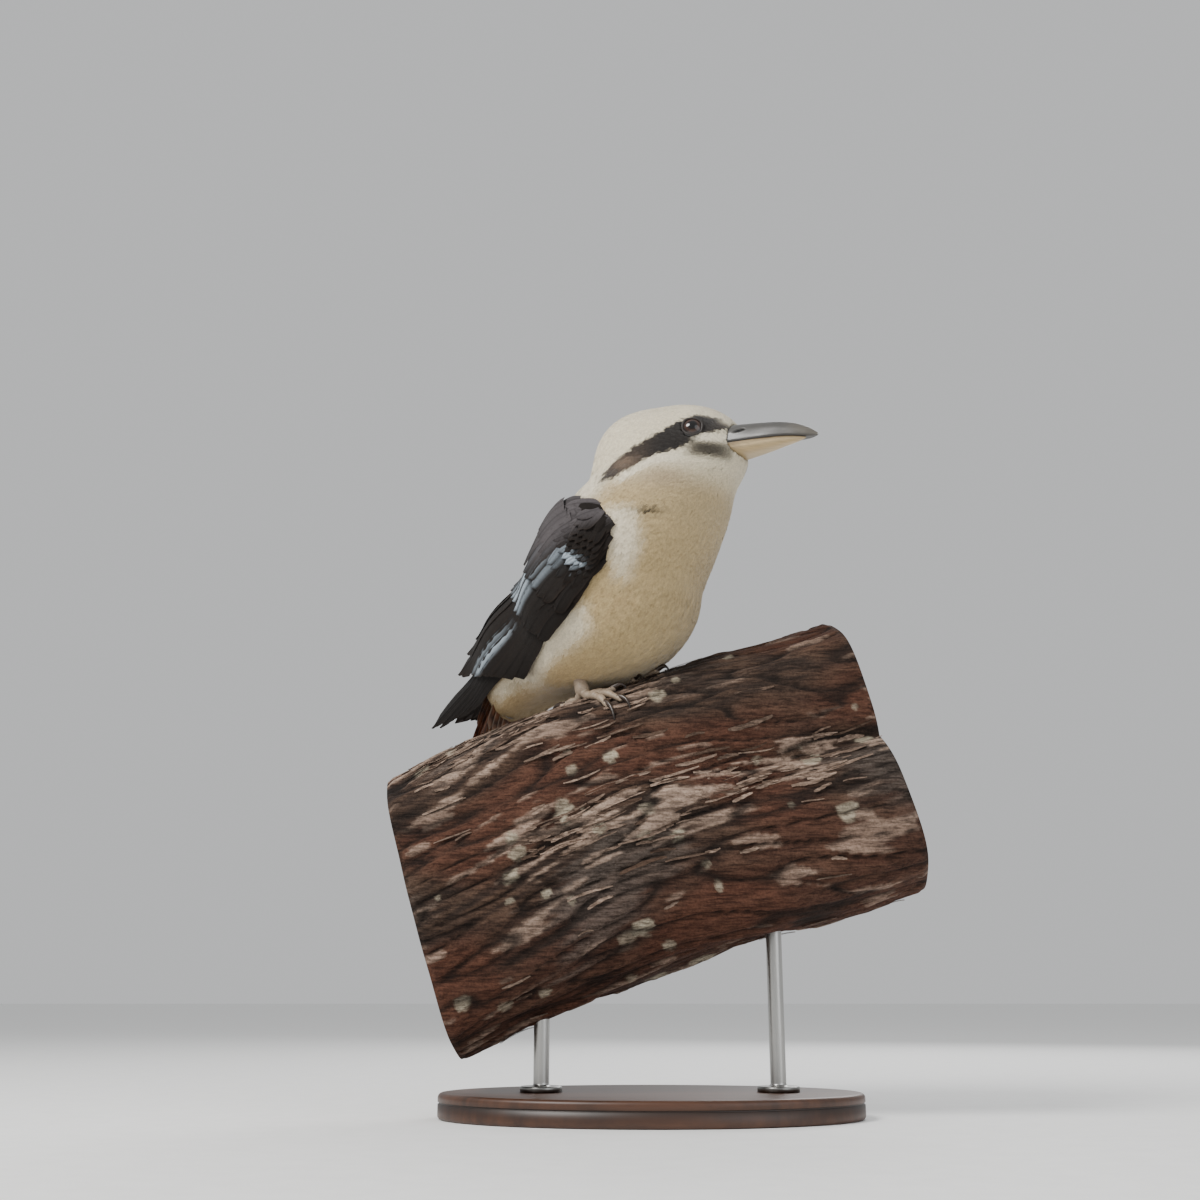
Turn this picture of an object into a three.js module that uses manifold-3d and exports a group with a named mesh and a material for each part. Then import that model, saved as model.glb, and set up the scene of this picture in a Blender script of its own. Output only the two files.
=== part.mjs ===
// A laughing kookaburra as a life-size museum model. It sits on a short cut length of branch, which a
// flat base and two rods hold. Millimetres, +Z up, origin at the centre of the base's underside.
// The bird has a frame of its own: origin between its feet, +X to the front, +Y to its left.
import * as THREE from "three";
import { mergeVertices } from "three/addons/utils/BufferGeometryUtils.js";
import Module from "manifold-3d";

const wasm = await Module();
wasm.setup();

const gap = 0.3; // left between pieces that touch
const degree = Math.PI / 180;
const { clamp, lerp, smoothstep } = THREE.MathUtils;

// Stand: an oval base and two rods that end in blind sockets under the perch.
const base = { length: 240, width: 150, thickness: 14, bevel: 2.5, segments: 26 };
const rod = {
  radius: 4.5,
  flangeRadius: 12,
  flangeThickness: 3,
  socketDepth: 12,
  places: [-62, 72],
  sides: 14,
};

// Perch: a limb that rises to the right and parts into two lobes, one over the other. Seen along it, it is
// deeper to the front than to the back of its crest.
const perch = {
  length: 284,
  slope: 16.5 * degree,
  centreY: 12,
  centreHeight: 166,
  halfHeight: 84,
  halfFront: 64,
  halfBack: 36,
  fullness: 2.5,
  lobes: [
    { at: [-6, 38], radius: 47 },
    { at: [-14, -36], radius: 50 },
  ],
  forkFrom: 0,
  forkTo: 120,
  sagFrom: 30,
  sag: 0.0005,
  ridge: 1.2,
  around: 30,
  along: 13,
};

// Bird: where its feet stand, how it is turned, and how its head is turned on its body.
const bird = { x: -30, y: 2, yaw: -40 * degree };
const head = { centre: [67.5, 1.2, 147.5], yaw: 9 * degree, pitch: -4 * degree };

// Flesh and plumage as blended rounded forms: centre, half sizes along, across and up, and pitch in degrees.
const bodyBlend = 16;
const bodyForms = [
  { at: [14, 0, 70], half: [70, 52, 43], pitch: 50 },
  { at: [36, 0, 98], half: [48, 47, 44], pitch: 40 },
  { at: [17, 0, 48.5], half: [50, 45, 36], pitch: 18 },
  { at: [-48, 0, 38], half: [46, 32, 24], pitch: 40 },
  { at: [-58, 0, 18], half: [26, 21, 15], pitch: 56 },
  { at: [-4, 18, 32], half: [24, 15, 19], pitch: 24 },
  { at: [-4, -18, 32], half: [24, 15, 19], pitch: 24 },
  { at: [-27, 0, 27], half: [32, 27, 19], pitch: 26 },
  { at: [59, 0, 121], half: [38, 38, 36], pitch: 60 },
];
// The head's forms are placed in the head's own frame: +X along the bill, +Z up.
const headForms = [
  { at: [-10, 0, 1], half: [40, 28.5, 22], pitch: 0 },
  { at: [14, 0, 1], half: [23, 19, 15], pitch: -12 },
  { at: [-4, 0, -7], half: [33, 26.5, 19], pitch: -8 },
  { at: [8, 0, -16], half: [29, 19, 14], pitch: 8 },
  { at: [-30, 0, -10], half: [25, 28, 27], pitch: 0 },
];
const skin = { around: 28, endRings: 4 };
// The line that the body's cross sections are threaded on, from the tail's root to inside the head.
const spinePoints = [
  [-60, 0, 20],
  [-36, 0, 42],
  [2, 0, 76],
  [34, 0, 110],
  [52, 0, 136],
  [72, 1, 147],
];
// Shares of the spine where each part begins and ends, and the steps between.
const stretches = { torso: [0, 0.66, 13], neck: [0.66, 0.84, 4], head: [0.84, 1, 7] };

// Bill, in the head's frame: half width, height over and depth under the line of the mouth, at each place.
const bill = {
  mouthHeight: -8.4,
  mouthSlope: 0.075,
  rootX: 14,
  tipX: 87.5,
  hook: 2.2,
  nostril: { at: [42, 10.2, 0.4], half: [3.4, 2.6, 1.1] },
  upper: [
    // x, half width, height
    [14, 17.4, 10],
    [22, 16, 12.4],
    [36, 13, 14.2],
    [50, 10.4, 12.6],
    [63, 8, 10.8],
    [75, 5.4, 8.2],
    [83, 3.2, 5],
    [87.5, 0.9, 1.8],
  ],
  lower: [
    [14, 16.4, 7.4],
    [22, 15, 6.8],
    [40, 12, 5.8],
    [51, 9.8, 5.2],
    [61, 7.4, 4.4],
    [70, 5, 3.1],
    [76, 2.8, 1.9],
    [80, 0.8, 0.7],
  ],
  arcPoints: 9,
};

// Eyes, in the head's frame: they look out of the side, a little forward and up.
const eye = {
  at: [16.9, 21.7, -0.9],
  radius: 8.2,
  lidRadius: 6.5,
  lidThickness: 1.4,
  forward: 27 * degree,
  upward: 11 * degree,
};

// Wing: a curved plate of coverts, with flight feathers and coverts as overlapping vanes. Places on it are
// millimetres along the wing and across it, which wraps round a core of the given radius.
const wing = {
  shoulder: [42, -44, 84],
  tip: [-126, -14, -4],
  facing: [0.15, -1, 0.35],
  clearance: 1.6,
  coreRadius: 44,
  blend: 10,
  plate: { from: -4, to: 74, low: -23, high: 27, thick: 5, thin: 3.6, along: 5, across: 5, sink: 7 },
  back: { reach: [50, 120], angle: 0.7, rise: 5.5 }, // how the bed swells over the lower back
  raise: 3 * degree,
};
const vaneThickness = 0.6;
const vaneTilt = 0.15;
// Outline of a flight feather and of a covert: share of the length, and share of the width there.
const flightShape = [[0, 0.7], [0.34, 0.97], [0.68, 1], [0.9, 0.82], [1, 0.26]];
const covertShape = [[0, 0.5], [0.5, 1], [0.84, 0.9], [1, 0.36]];
// Each tier: places of its first and last feather's root and tip, their widths, the lift at root and tip,
// and the step by which each next feather lies higher.
const wingTiers = {
  primaries: {
    count: 5,
    root: [[60, -16], [66, -2]],
    tip: [[160, -12], [198, 1]],
    width: [11, 12],
    lift: [-0.8, -0.6],
    step: 0.3,
  },
  secondaries: {
    count: 6,
    root: [[58, -20], [64, 14]],
    tip: [[106, -23], [156, 13]],
    width: [15, 16],
    lift: [1.8, 4.2],
  },
  tertials: {
    count: 3,
    root: [[56, 17], [58, 32]],
    tip: [[146, 17], [132, 34]],
    width: [18, 19],
    lift: [2.8, 6],
  },
  greaterCoverts: {
    count: 6,
    root: [[32, -20], [40, 22]],
    tip: [[68, -23], [84, 23]],
    width: [13, 14],
    lift: [2, 7],
    shape: covertShape,
  },
  medianCoverts: {
    count: 5,
    root: [[8, -16], [14, 18]],
    tip: [[44, -20], [56, 20]],
    width: [13, 14],
    lift: [2, 8],
    shape: covertShape,
  },
};

// Tail: twelve feathers, hanging steeply behind the perch, with a root of coverts.
const tail = {
  root: [-76, 0, 16],
  fall: 66 * degree,
  length: 150,
  pairs: 6,
  pitch: 2.8,
  width: 16,
  spread: 0.05,
  rounding: 8,
  step: 0.9,
  coverts: 5,
};

// Legs and feet: tarsus, three front toes and a hind toe, each with a claw.
const leg = { stance: 17, forward: 2, tarsusRadius: 3.4, ankleRise: 7, tarsusLean: [-10, 3, 34] };
const toeRadius = 3.1;
const toes = [
  { turn: -20, length: 21 },
  { turn: 2, length: 31 },
  { turn: 16, length: 27 },
  { turn: 176, length: 16 },
];
const claw = { length: 9, radius: 1.7 };

// Colours, roughness and metalness.
const material = (color, roughness = 0.85, metalness = 0) =>
  new THREE.MeshStandardMaterial({ color, roughness, metalness });
const cream = material(0xd8d2bb);
const buff = material(0xb5aa8c);
const darkBrown = material(0x2c241d);
const rufous = material(0x7a4c2e);
const blackHorn = material(0x5b5a55, 0.35);
const paleHorn = material(0xb9ab8e, 0.4);
const wetBrown = material(0x1c110a, 0.1);
const greySkin = material(0x8d8678, 0.6);
const bark = material(0x6b5446, 0.95);
const stainedWood = material(0x3c2a20, 0.5);
const steel = material(0x8c8c8a, 0.35, 1);

// One closed mesh as a solid with its faces out. Points nearer than the tolerance become one.
function solid(geometry, tolerance = 1e-4) {
  const bare = new THREE.BufferGeometry();
  bare.setAttribute("position", geometry.getAttribute("position"));
  bare.setIndex(geometry.index);
  const merged = mergeVertices(bare, tolerance);
  const index = Array.from(merged.index.array);
  const triangles = [];
  for (let i = 0; i < index.length; i += 3) {
    const corners = index.slice(i, i + 3);
    if (new Set(corners).size === 3) triangles.push(...corners);
  }
  const vertProperties = merged.attributes.position.array;
  const make = (triVerts) => new wasm.Manifold(new wasm.Mesh({ numProp: 3, vertProperties, triVerts }));
  const made = make(Uint32Array.from(triangles));
  return made.volume() > 0 ? made : make(Uint32Array.from(triangles).reverse());
}

// The largest closed body of a solid.
const largestOf = (made) => made.decompose().reduce((a, b) => (b.volume() > a.volume() ? b : a));

// A solid's largest body as a geometry, with slivers left by cutting and joining closed up.
function geometryOf(made) {
  const raw = (mesh) => {
    const geometry = new THREE.BufferGeometry();
    geometry.setAttribute("position", new THREE.Float32BufferAttribute(mesh.vertProperties, 3));
    geometry.setIndex(Array.from(mesh.triVerts));
    return geometry;
  };
  const welded = solid(raw(largestOf(made).getMesh()), 0.01);
  const geometry = raw(largestOf(welded).getMesh()).toNonIndexed();
  geometry.computeVertexNormals();
  return geometry;
}

const fuse = (pieces) => pieces.reduce((sum, piece) => sum.add(piece));
const mirrored = (geometry) => geometry.clone().applyMatrix4(new THREE.Matrix4().makeScale(1, -1, 1));

// Joins rings of equal count into one closed body. A cap is a fan about its tip point, or about the ring's
// first point where there is none. The strips in turned have their quads split along the other diagonal.
function loft(rings, { startTip, endTip, turned = [] } = {}) {
  const count = rings[0].length;
  const points = rings.flat();
  const triangles = [];
  for (let i = 0; i + 1 < rings.length; i++) {
    for (let j = 0; j < count; j++) {
      const a = i * count + j;
      const b = i * count + ((j + 1) % count);
      const [c, d] = [b + count, a + count];
      if (turned.includes(j)) triangles.push(a, b, d, b, c, d);
      else triangles.push(a, b, c, a, c, d);
    }
  }
  const cap = (first, tip, order) => {
    if (tip) points.push(tip);
    const centre = tip ? points.length - 1 : first;
    for (let j = tip ? 0 : 1; j < (tip ? count : count - 1); j++) {
      const edge = [first + j, first + ((j + 1) % count)];
      triangles.push(centre, edge[order], edge[1 - order]);
    }
  };
  cap(0, startTip, 1);
  cap((rings.length - 1) * count, endTip, 0);
  const geometry = new THREE.BufferGeometry();
  const places = points.flatMap((point) => point.toArray());
  geometry.setAttribute("position", new THREE.Float32BufferAttribute(places, 3));
  geometry.setIndex(triangles);
  return geometry;
}

// A value read from rows of [x, ...values], eased between rows.
function readRows(rows, x, column) {
  const next = clamp(rows.findIndex((row) => row[0] >= x), 1, rows.length - 1);
  const [low, high] = [rows[next - 1], rows[next]];
  return lerp(low[column], high[column], clamp((x - low[0]) / (high[0] - low[0]), 0, 1));
}

// Perch surface: radius at a place along it and an angle round it from straight up, towards the back.
function perchRadius(along, angle) {
  const [across, up] = [Math.sin(angle), Math.cos(angle)];
  const halfWidth = across > 0 ? perch.halfBack : perch.halfFront;
  const part = Math.abs(up / perch.halfHeight) ** perch.fullness;
  const oval = (part + Math.abs(across / halfWidth) ** perch.fullness) ** (-1 / perch.fullness);
  const lobe = ({ at, radius }) => {
    const reach = at[0] * across + at[1] * up;
    const inside = radius ** 2 - at[0] ** 2 - at[1] ** 2 + reach ** 2;
    return inside > 0 ? reach + Math.sqrt(inside) : 0;
  };
  const fork = smoothstep(along, perch.forkFrom, perch.forkTo);
  const ridges =
    Math.sin(7 * angle + 1.3 * Math.sin(along / 41)) +
    0.7 * Math.sin(11 * angle - along / 37) +
    0.8 * Math.sin(along / 19 + 3 * angle);
  return lerp(oval, Math.max(...perch.lobes.map(lobe)), fork) + perch.ridge * ridges;
}

// How far the perch's axis lies under a straight line, at a place along it.
const perchSag = (along) => perch.sag * Math.min(along - perch.sagFrom, 0) ** 2;

const perchMatrix = new THREE.Matrix4()
  .makeRotationY(-perch.slope)
  .setPosition(0, perch.centreY, perch.centreHeight);
const perchInverse = perchMatrix.clone().invert();

// How far a point lies outside the perch, along the perch's radius.
function outsidePerch(point) {
  const local = point.clone().applyMatrix4(perchInverse);
  local.z += perchSag(local.x);
  return Math.hypot(local.y, local.z) - perchRadius(local.x, Math.atan2(local.y, local.z));
}

// Height of the perch's top over a place in the row frame.
function perchTop(x, y) {
  let [low, high] = [perch.centreHeight - 20, perch.centreHeight + 2 * perch.halfHeight];
  for (let i = 0; i < 30; i++) {
    const middle = (low + high) / 2;
    if (outsidePerch(new THREE.Vector3(x, y, middle)) > 0) high = middle;
    else low = middle;
  }
  return low;
}

function perchSolid(offset = 0) {
  const rings = [];
  for (let i = 0; i <= perch.along; i++) {
    const along = lerp(-0.5, 0.5, i / perch.along) * (perch.length + 2 * offset);
    const ring = [];
    for (let j = 0; j < perch.around; j++) {
      const angle = (j / perch.around) * 2 * Math.PI;
      const radius = perchRadius(along, angle) + offset;
      const up = radius * Math.cos(angle) - perchSag(along);
      ring.push(new THREE.Vector3(along, radius * Math.sin(angle), up));
    }
    rings.push(ring);
  }
  const end = (side) => {
    const along = side * (perch.length / 2 + offset);
    return new THREE.Vector3(along, 0, -perchSag(along));
  };
  return solid(loft(rings, { startTip: end(-1), endTip: end(1) }).applyMatrix4(perchMatrix));
}

const birdMatrix = new THREE.Matrix4()
  .makeRotationZ(bird.yaw)
  .setPosition(bird.x, bird.y, perchTop(bird.x, bird.y));
const birdInverse = birdMatrix.clone().invert();
const headMatrix = new THREE.Matrix4()
  .makeRotationZ(head.yaw)
  .multiply(new THREE.Matrix4().makeRotationY(-head.pitch))
  .setPosition(...head.centre);

// The blended forms' inverse matrices, all in the bird's frame.
const formMatrix = ({ at, pitch }) =>
  new THREE.Matrix4().makeRotationY(-pitch * degree).setPosition(...at);
const posed = (matrix) => (form) => ({
  half: form.half,
  inverse: matrix.clone().multiply(formMatrix(form)).invert(),
});
const forms = [...bodyForms.map(posed(new THREE.Matrix4())), ...headForms.map(posed(headMatrix))];

// Distance to the blended surface of body and head, negative inside.
function bodyDistance(point) {
  let nearest = Infinity;
  for (const { half, inverse } of forms) {
    const p = point.clone().applyMatrix4(inverse);
    const scaled = Math.hypot(p.x / half[0], p.y / half[1], p.z / half[2]);
    const slope = Math.hypot(p.x / half[0] ** 2, p.y / half[1] ** 2, p.z / half[2] ** 2);
    const distance = slope > 1e-9 ? (scaled * (scaled - 1)) / slope : -Math.min(...half);
    const blend = Math.max(bodyBlend - Math.abs(nearest - distance), 0) / bodyBlend;
    nearest = Math.min(nearest, distance) - (blend > 0 ? (blend ** 2 * bodyBlend) / 4 : 0);
  }
  return nearest;
}

// The farthest point of the surface, grown by offset, on a ray from inside the body.
function onSurface(origin, direction, offset) {
  let [near, far] = [0, 110];
  for (let step = far; step > 0; step -= 2) {
    if (bodyDistance(origin.clone().addScaledVector(direction, step)) < offset) break;
    far = step;
  }
  near = Math.max(far - 2, 0);
  for (let i = 0; i < 12; i++) {
    const middle = (near + far) / 2;
    if (bodyDistance(origin.clone().addScaledVector(direction, middle)) < offset) near = middle;
    else far = middle;
  }
  return origin.clone().addScaledVector(direction, (near + far) / 2);
}

const spineVectors = spinePoints.map((place) => new THREE.Vector3(...place));
const spine = new THREE.CatmullRomCurve3(spineVectors, false, "centripetal");
spine.arcLengthDivisions = 400;

// A ring of surface points about a place on the spine. lean tips its rays towards the spine's end.
function bodyRing(share, offset, { slide = 0, lean = 0 } = {}) {
  const forward = spine.getTangentAt(share);
  const origin = spine.getPointAt(share).addScaledVector(forward, slide);
  const left = new THREE.Vector3(0, 0, 1).cross(forward).normalize();
  const up = forward.clone().cross(left);
  return Array.from({ length: skin.around }, (_, j) => {
    const angle = (j / skin.around) * 2 * Math.PI;
    const out = left.clone().multiplyScalar(Math.cos(angle)).addScaledVector(up, Math.sin(angle));
    const ray = out.multiplyScalar(Math.cos(lean)).addScaledVector(forward, Math.sin(lean));
    return onSurface(origin, ray, offset);
  });
}

// The rounded end of the body: rings whose rays lean more and more along the spine, and the end's tip.
function bodyEnd(share, offset, side) {
  const lean = (k) => (side * k * Math.PI) / 2 / (skin.endRings + 1);
  const ringAt = (_, k) => bodyRing(share, offset, { lean: lean(k + 1) });
  const rings = Array.from({ length: skin.endRings }, ringAt);
  const tip = onSurface(spine.getPointAt(share), spine.getTangentAt(share).multiplyScalar(side), offset);
  return { rings, tip };
}

// The shares of the spine at a stretch's rings.
const sharesOf = ([from, to, steps]) =>
  Array.from({ length: steps + 1 }, (_, i) => lerp(from, to, i / steps));

// A length of the body with a ring at each share, round at the spine's ends and flat where it is parted.
function bodyStretch(shares, offset = 0) {
  const rings = [];
  const tips = {};
  const last = shares.length - 1;
  shares.forEach((share, i) => {
    const parted = i === 0 ? share > 0 : i === last && share < 1;
    const slide = parted ? (gap / 2) * (i === 0 ? 1 : -1) : 0;
    const ring = bodyRing(share, offset, { slide });
    rings.push(ring);
    if (!parted) return;
    const middle = spine.getPointAt(share).addScaledVector(spine.getTangentAt(share), slide);
    tips[i === 0 ? "startTip" : "endTip"] = middle;
  });
  if (shares[0] === 0) {
    const end = bodyEnd(0, offset, -1);
    rings.unshift(...end.rings.reverse());
    tips.startTip = end.tip;
  }
  if (shares[last] === 1) {
    const end = bodyEnd(1, offset, 1);
    rings.push(...end.rings);
    tips.endTip = end.tip;
  }
  return solid(loft(rings, tips));
}

const bodyGrown = bodyStretch([...new Set(Object.values(stretches).flatMap(sharesOf))], gap);

// One mandible, rounded away from the line of the mouth and flat along it. side is 1 for the upper one.
function mandible(rows, side, grown = 0) {
  const tipX = rows.at(-1)[0];
  const stations = Array.from({ length: 13 }, (_, i) => lerp(bill.rootX, tipX, i / 12));
  const rings = stations.map((x, i) => {
    const end = (i === stations.length - 1 ? grown : 0) - (i === 0 ? grown : 0);
    const width = readRows(rows, x, 1) + grown;
    const height = readRows(rows, x, 2) + grown;
    const drop = bill.hook * smoothstep(x, bill.tipX - 32, bill.tipX) ** 2;
    const mouth = bill.mouthHeight + bill.mouthSlope * (x - bill.rootX) - drop;
    const flat = mouth + side * (gap / 2 - grown);
    return Array.from({ length: bill.arcPoints }, (_, j) => {
      const angle = (j / (bill.arcPoints - 1)) * Math.PI;
      const rise = (height + grown) * Math.sin(angle) ** 0.85;
      return new THREE.Vector3(x + end, width * Math.cos(angle), flat + side * rise);
    });
  });
  return solid(loft(rings).applyMatrix4(headMatrix));
}

function ball(at, half, matrix, detail = [16, 10]) {
  const geometry = new THREE.SphereGeometry(1, ...detail);
  geometry.deleteAttribute("normal");
  geometry.deleteAttribute("uv");
  return solid(geometry.scale(...half).translate(...at).applyMatrix4(matrix));
}

const sides = { left: 1, right: -1 };
const eyeAt = (side) => [eye.at[0], side * eye.at[1], eye.at[2]];

const eyeball = (side, grown = 0) =>
  ball(eyeAt(side), Array(3).fill(eye.radius + grown), headMatrix, [14, 8]);

// The lids are a ring on the head round the open part of the eye.
function lids(side) {
  const ring = new THREE.TorusGeometry(eye.lidRadius, eye.lidThickness, 6, 20);
  ring.deleteAttribute("normal");
  ring.deleteAttribute("uv");
  const rise = Math.sqrt(eye.radius ** 2 - eye.lidRadius ** 2);
  ring.scale(1.1, 1, 1).rotateX((-side * Math.PI) / 2).translate(0, side * rise, 0);
  ring.rotateX(side * eye.upward).rotateZ(-side * eye.forward).translate(...eyeAt(side));
  return solid(ring.applyMatrix4(headMatrix));
}

// One feather's vane on a curved surface given by surface(s, t, height): from its root to its tip, thin,
// widest past the middle, with a narrow tip. Tilted, one of its edges lies higher.
function vane(surface, { from, to, width, lift, shape = flightShape, tilt = 0, bow = 0 }) {
  const run = new THREE.Vector2(to[0] - from[0], to[1] - from[1]);
  const across = new THREE.Vector2(-run.y, run.x).normalize();
  const rings = shape.map(([share, wide]) => {
    const middle = new THREE.Vector2(...from).addScaledVector(run, share);
    middle.addScaledVector(across, bow * Math.sin(Math.PI * share));
    const height = lerp(lift[0], lift[1], share);
    const edge = (side, top) => {
      const off = (side * width * wide) / 2;
      const place = middle.clone().addScaledVector(across, off);
      return surface(place.x, place.y, height + tilt * off + (top ? vaneThickness : 0));
    };
    return [edge(-1, true), edge(1, true), edge(1, false), edge(-1, false)];
  });
  return solid(loft(rings, { turned: [2, 3] }));
}

// The wing's own directions, for the right wing: along it, out of the body's side, and across to the back.
const shoulder = new THREE.Vector3(...wing.shoulder);
const wingAlong = new THREE.Vector3(...wing.tip).sub(shoulder).normalize();
const wingOut = new THREE.Vector3(...wing.facing);
wingOut.addScaledVector(wingAlong, -wingOut.dot(wingAlong)).normalize();
const wingAcross = wingAlong.clone().cross(wingOut);

// Radius of the bed that the wing lies on: the body's side, and past it a plain round core.
const bedRadii = new Map();
function bedRadius(origin, direction, key) {
  if (!bedRadii.has(key)) {
    let side = 0;
    for (let reach = 90; reach > 0; reach -= 0.5) {
      if (bodyDistance(origin.clone().addScaledVector(direction, reach)) < wing.clearance) {
        side = reach;
        break;
      }
    }
    const mixed = Math.max(wing.blend - Math.abs(side - wing.coreRadius), 0) / wing.blend;
    bedRadii.set(key, Math.max(side, wing.coreRadius) + (mixed ** 2 * wing.blend) / 4);
  }
  return bedRadii.get(key);
}

function onWing(s, t, height) {
  const angle = t / wing.coreRadius;
  const origin = shoulder.clone().addScaledVector(wingAlong, s).addScaledVector(wingOut, -wing.coreRadius);
  const direction = wingOut.clone().multiplyScalar(Math.cos(angle));
  direction.addScaledVector(wingAcross, Math.sin(angle));
  const radius = bedRadius(origin, direction, `${s.toFixed(2)} ${t.toFixed(2)}`);
  const { reach, angle: turn, rise } = wing.back;
  const swell = rise * smoothstep(s, ...reach) * smoothstep(angle, 0, turn);
  return origin.addScaledVector(direction, radius + swell + height);
}

// The coverts' plate, rounded at the shoulder and thinner to the back.
function wingPlate() {
  const { from, to, low, high, thick, thin, along, across, sink } = wing.plate;
  const rings = [];
  for (let i = 0; i <= along; i++) {
    const share = i / along;
    const s = lerp(from, to, share);
    const round = Math.sqrt(1 - (1 - Math.min(share / 0.22, 1)) ** 2 * 0.86);
    const taper = round * (1 - 0.2 * share);
    const upper = high * smoothstep(share, -0.4, 0.6);
    const height = lerp(thick, thin, share) * round;
    const spots = Array.from({ length: across + 1 }, (_, j) => j / across);
    const top = spots.map((spot) => {
      const crown = Math.sin(Math.PI * lerp(0.14, 0.86, spot)) ** 0.6;
      return onWing(s, lerp(low, upper, spot) * taper, height * crown);
    });
    const bottom = spots.map((spot) => onWing(s, lerp(upper, low, spot) * taper, -sink));
    rings.push([...top, ...bottom]);
  }
  return solid(loft(rings));
}

// The vanes of one tier, spread evenly from its first feather to its last.
function tierVanes({ count, root, tip, width, lift, step = 0, shape }) {
  return Array.from({ length: count }, (_, i) => {
    const share = i / (count - 1);
    const mix = ([first, last]) => [lerp(first[0], last[0], share), lerp(first[1], last[1], share)];
    const lifts = lift.map((height) => height + i * step);
    const form = { width: lerp(...width, share), lift: lifts, shape, tilt: -vaneTilt, bow: 2 };
    return vane(onWing, { from: mix(root), to: mix(tip), ...form });
  });
}

const wingSolid = () => fuse([wingPlate(), ...Object.values(wingTiers).flatMap(tierVanes)]);

// The tail's surface: s down the tail, t across it, height to the back.
const tailDown = new THREE.Vector3(-Math.cos(tail.fall), 0, -Math.sin(tail.fall));
const tailBack = new THREE.Vector3(-Math.sin(tail.fall), 0, Math.cos(tail.fall));
function onTail(s, t, height) {
  return new THREE.Vector3(...tail.root)
    .addScaledVector(tailDown, s)
    .add(new THREE.Vector3(0, t, 0))
    .addScaledVector(tailBack, height - 0.006 * t * t);
}

function tailSolid() {
  const pieces = [ball([-6, 0, -4], [30, 17, 9], tailMatrix())];
  for (let i = 0; i < tail.pairs; i++) {
    for (const side of Object.values(sides)) {
      // The two inner pairs lie over one another, so the left one of each is a layer lower.
      const layer = i < 2 ? 2 * i + (side > 0 ? 1 : 0) : i + 2;
      const middle = side * (i + 0.5) * tail.pitch;
      const to = [tail.length - tail.rounding * (i / tail.pairs) ** 2, middle * (1 + tail.spread * i)];
      const lift = -layer * tail.step;
      pieces.push(vane(onTail, { from: [-8, middle * 0.7], to, width: tail.width, lift: [lift, lift] }));
    }
  }
  for (let i = 0; i < tail.coverts; i++) {
    const spot = lerp(-1, 1, i / (tail.coverts - 1));
    const lift = tail.step * (2.4 - (i % 2));
    const to = [46 - 8 * Math.abs(spot), 16 * spot];
    const form = { width: 12, lift: [lift, lift], shape: covertShape };
    pieces.push(vane(onTail, { from: [-10, 11 * spot], to, ...form }));
  }
  return fuse(pieces);
}

// The frame of the tail's root of coverts: +X down the tail, +Z to the back.
function tailMatrix() {
  const across = new THREE.Vector3().crossVectors(tailBack, tailDown);
  return new THREE.Matrix4().makeBasis(tailDown, across, tailBack).setPosition(...tail.root);
}

// A round tube through points in the bird's frame, with its own radius at each.
function tube(points, radii, count = 7) {
  const rings = points.map((point, i) => {
    const [before, after] = [points[Math.max(i - 1, 0)], points[Math.min(i + 1, points.length - 1)]];
    const forward = after.clone().sub(before).normalize();
    const helper = Math.abs(forward.z) > 0.9 ? new THREE.Vector3(1, 0, 0) : new THREE.Vector3(0, 0, 1);
    const right = forward.clone().cross(helper).normalize();
    const up = right.clone().cross(forward);
    return Array.from({ length: count }, (_, j) => {
      const angle = (j / count) * 2 * Math.PI;
      const out = right.clone().multiplyScalar(Math.cos(angle)).addScaledVector(up, Math.sin(angle));
      return point.clone().addScaledVector(out, radii[i]);
    });
  });
  return solid(loft(rings));
}

// A point over the perch's surface, in the bird's frame.
function overPerch(x, y, rise) {
  const spot = new THREE.Vector3(x, y, 0).applyMatrix4(birdMatrix);
  spot.z = perchTop(spot.x, spot.y);
  return new THREE.Vector3(x, y, spot.applyMatrix4(birdInverse).z + rise);
}

// The bare shank, which ends inside the belly's plumage.
function shank(side, grown = 0) {
  const [leanX, leanY, top] = leg.tarsusLean;
  const ankle = overPerch(leg.forward, side * leg.stance, leg.ankleRise);
  const knee = new THREE.Vector3(leg.forward + leanX, side * (leg.stance + leanY), top);
  return tube([ankle, knee], [leg.tarsusRadius + grown, leg.tarsusRadius + 1 + grown], 8);
}

// One foot: toes with a swelling at each joint, and claws that curve down to the bark.
function foot(side, grown = 0) {
  const [footX, footY] = [leg.forward, side * leg.stance];
  const pieces = [];
  for (const { turn, length } of toes) {
    const heading = side * turn * degree;
    const at = (reach, rise) =>
      overPerch(footX + reach * Math.cos(heading), footY + reach * Math.sin(heading), rise);
    const steps = 4;
    const points = [at(0, leg.ankleRise - 1.5)];
    const radii = [toeRadius + grown];
    for (let i = 1; i <= steps; i++) {
      const radius = toeRadius * (1 - 0.1 * i) + 0.35 * Math.cos(i * Math.PI);
      points.push(at((length * i) / steps, radius * 0.75));
      radii.push(radius + grown);
    }
    pieces.push(tube(points, radii, 5));
    const clawAt = (share) => {
      const rise = lerp(2.4, 0.3, share) + 2.2 * Math.sin(Math.PI * share);
      return at(length - 2 + claw.length * Math.sin(share * 1.35), rise);
    };
    const clawRadius = (share) => claw.radius * (1 - 0.82 * share) + grown;
    const shares = [0, 0.5, 1];
    pieces.push(tube(shares.map(clawAt), shares.map(clawRadius), 4));
  }
  return fuse(pieces);
}

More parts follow.
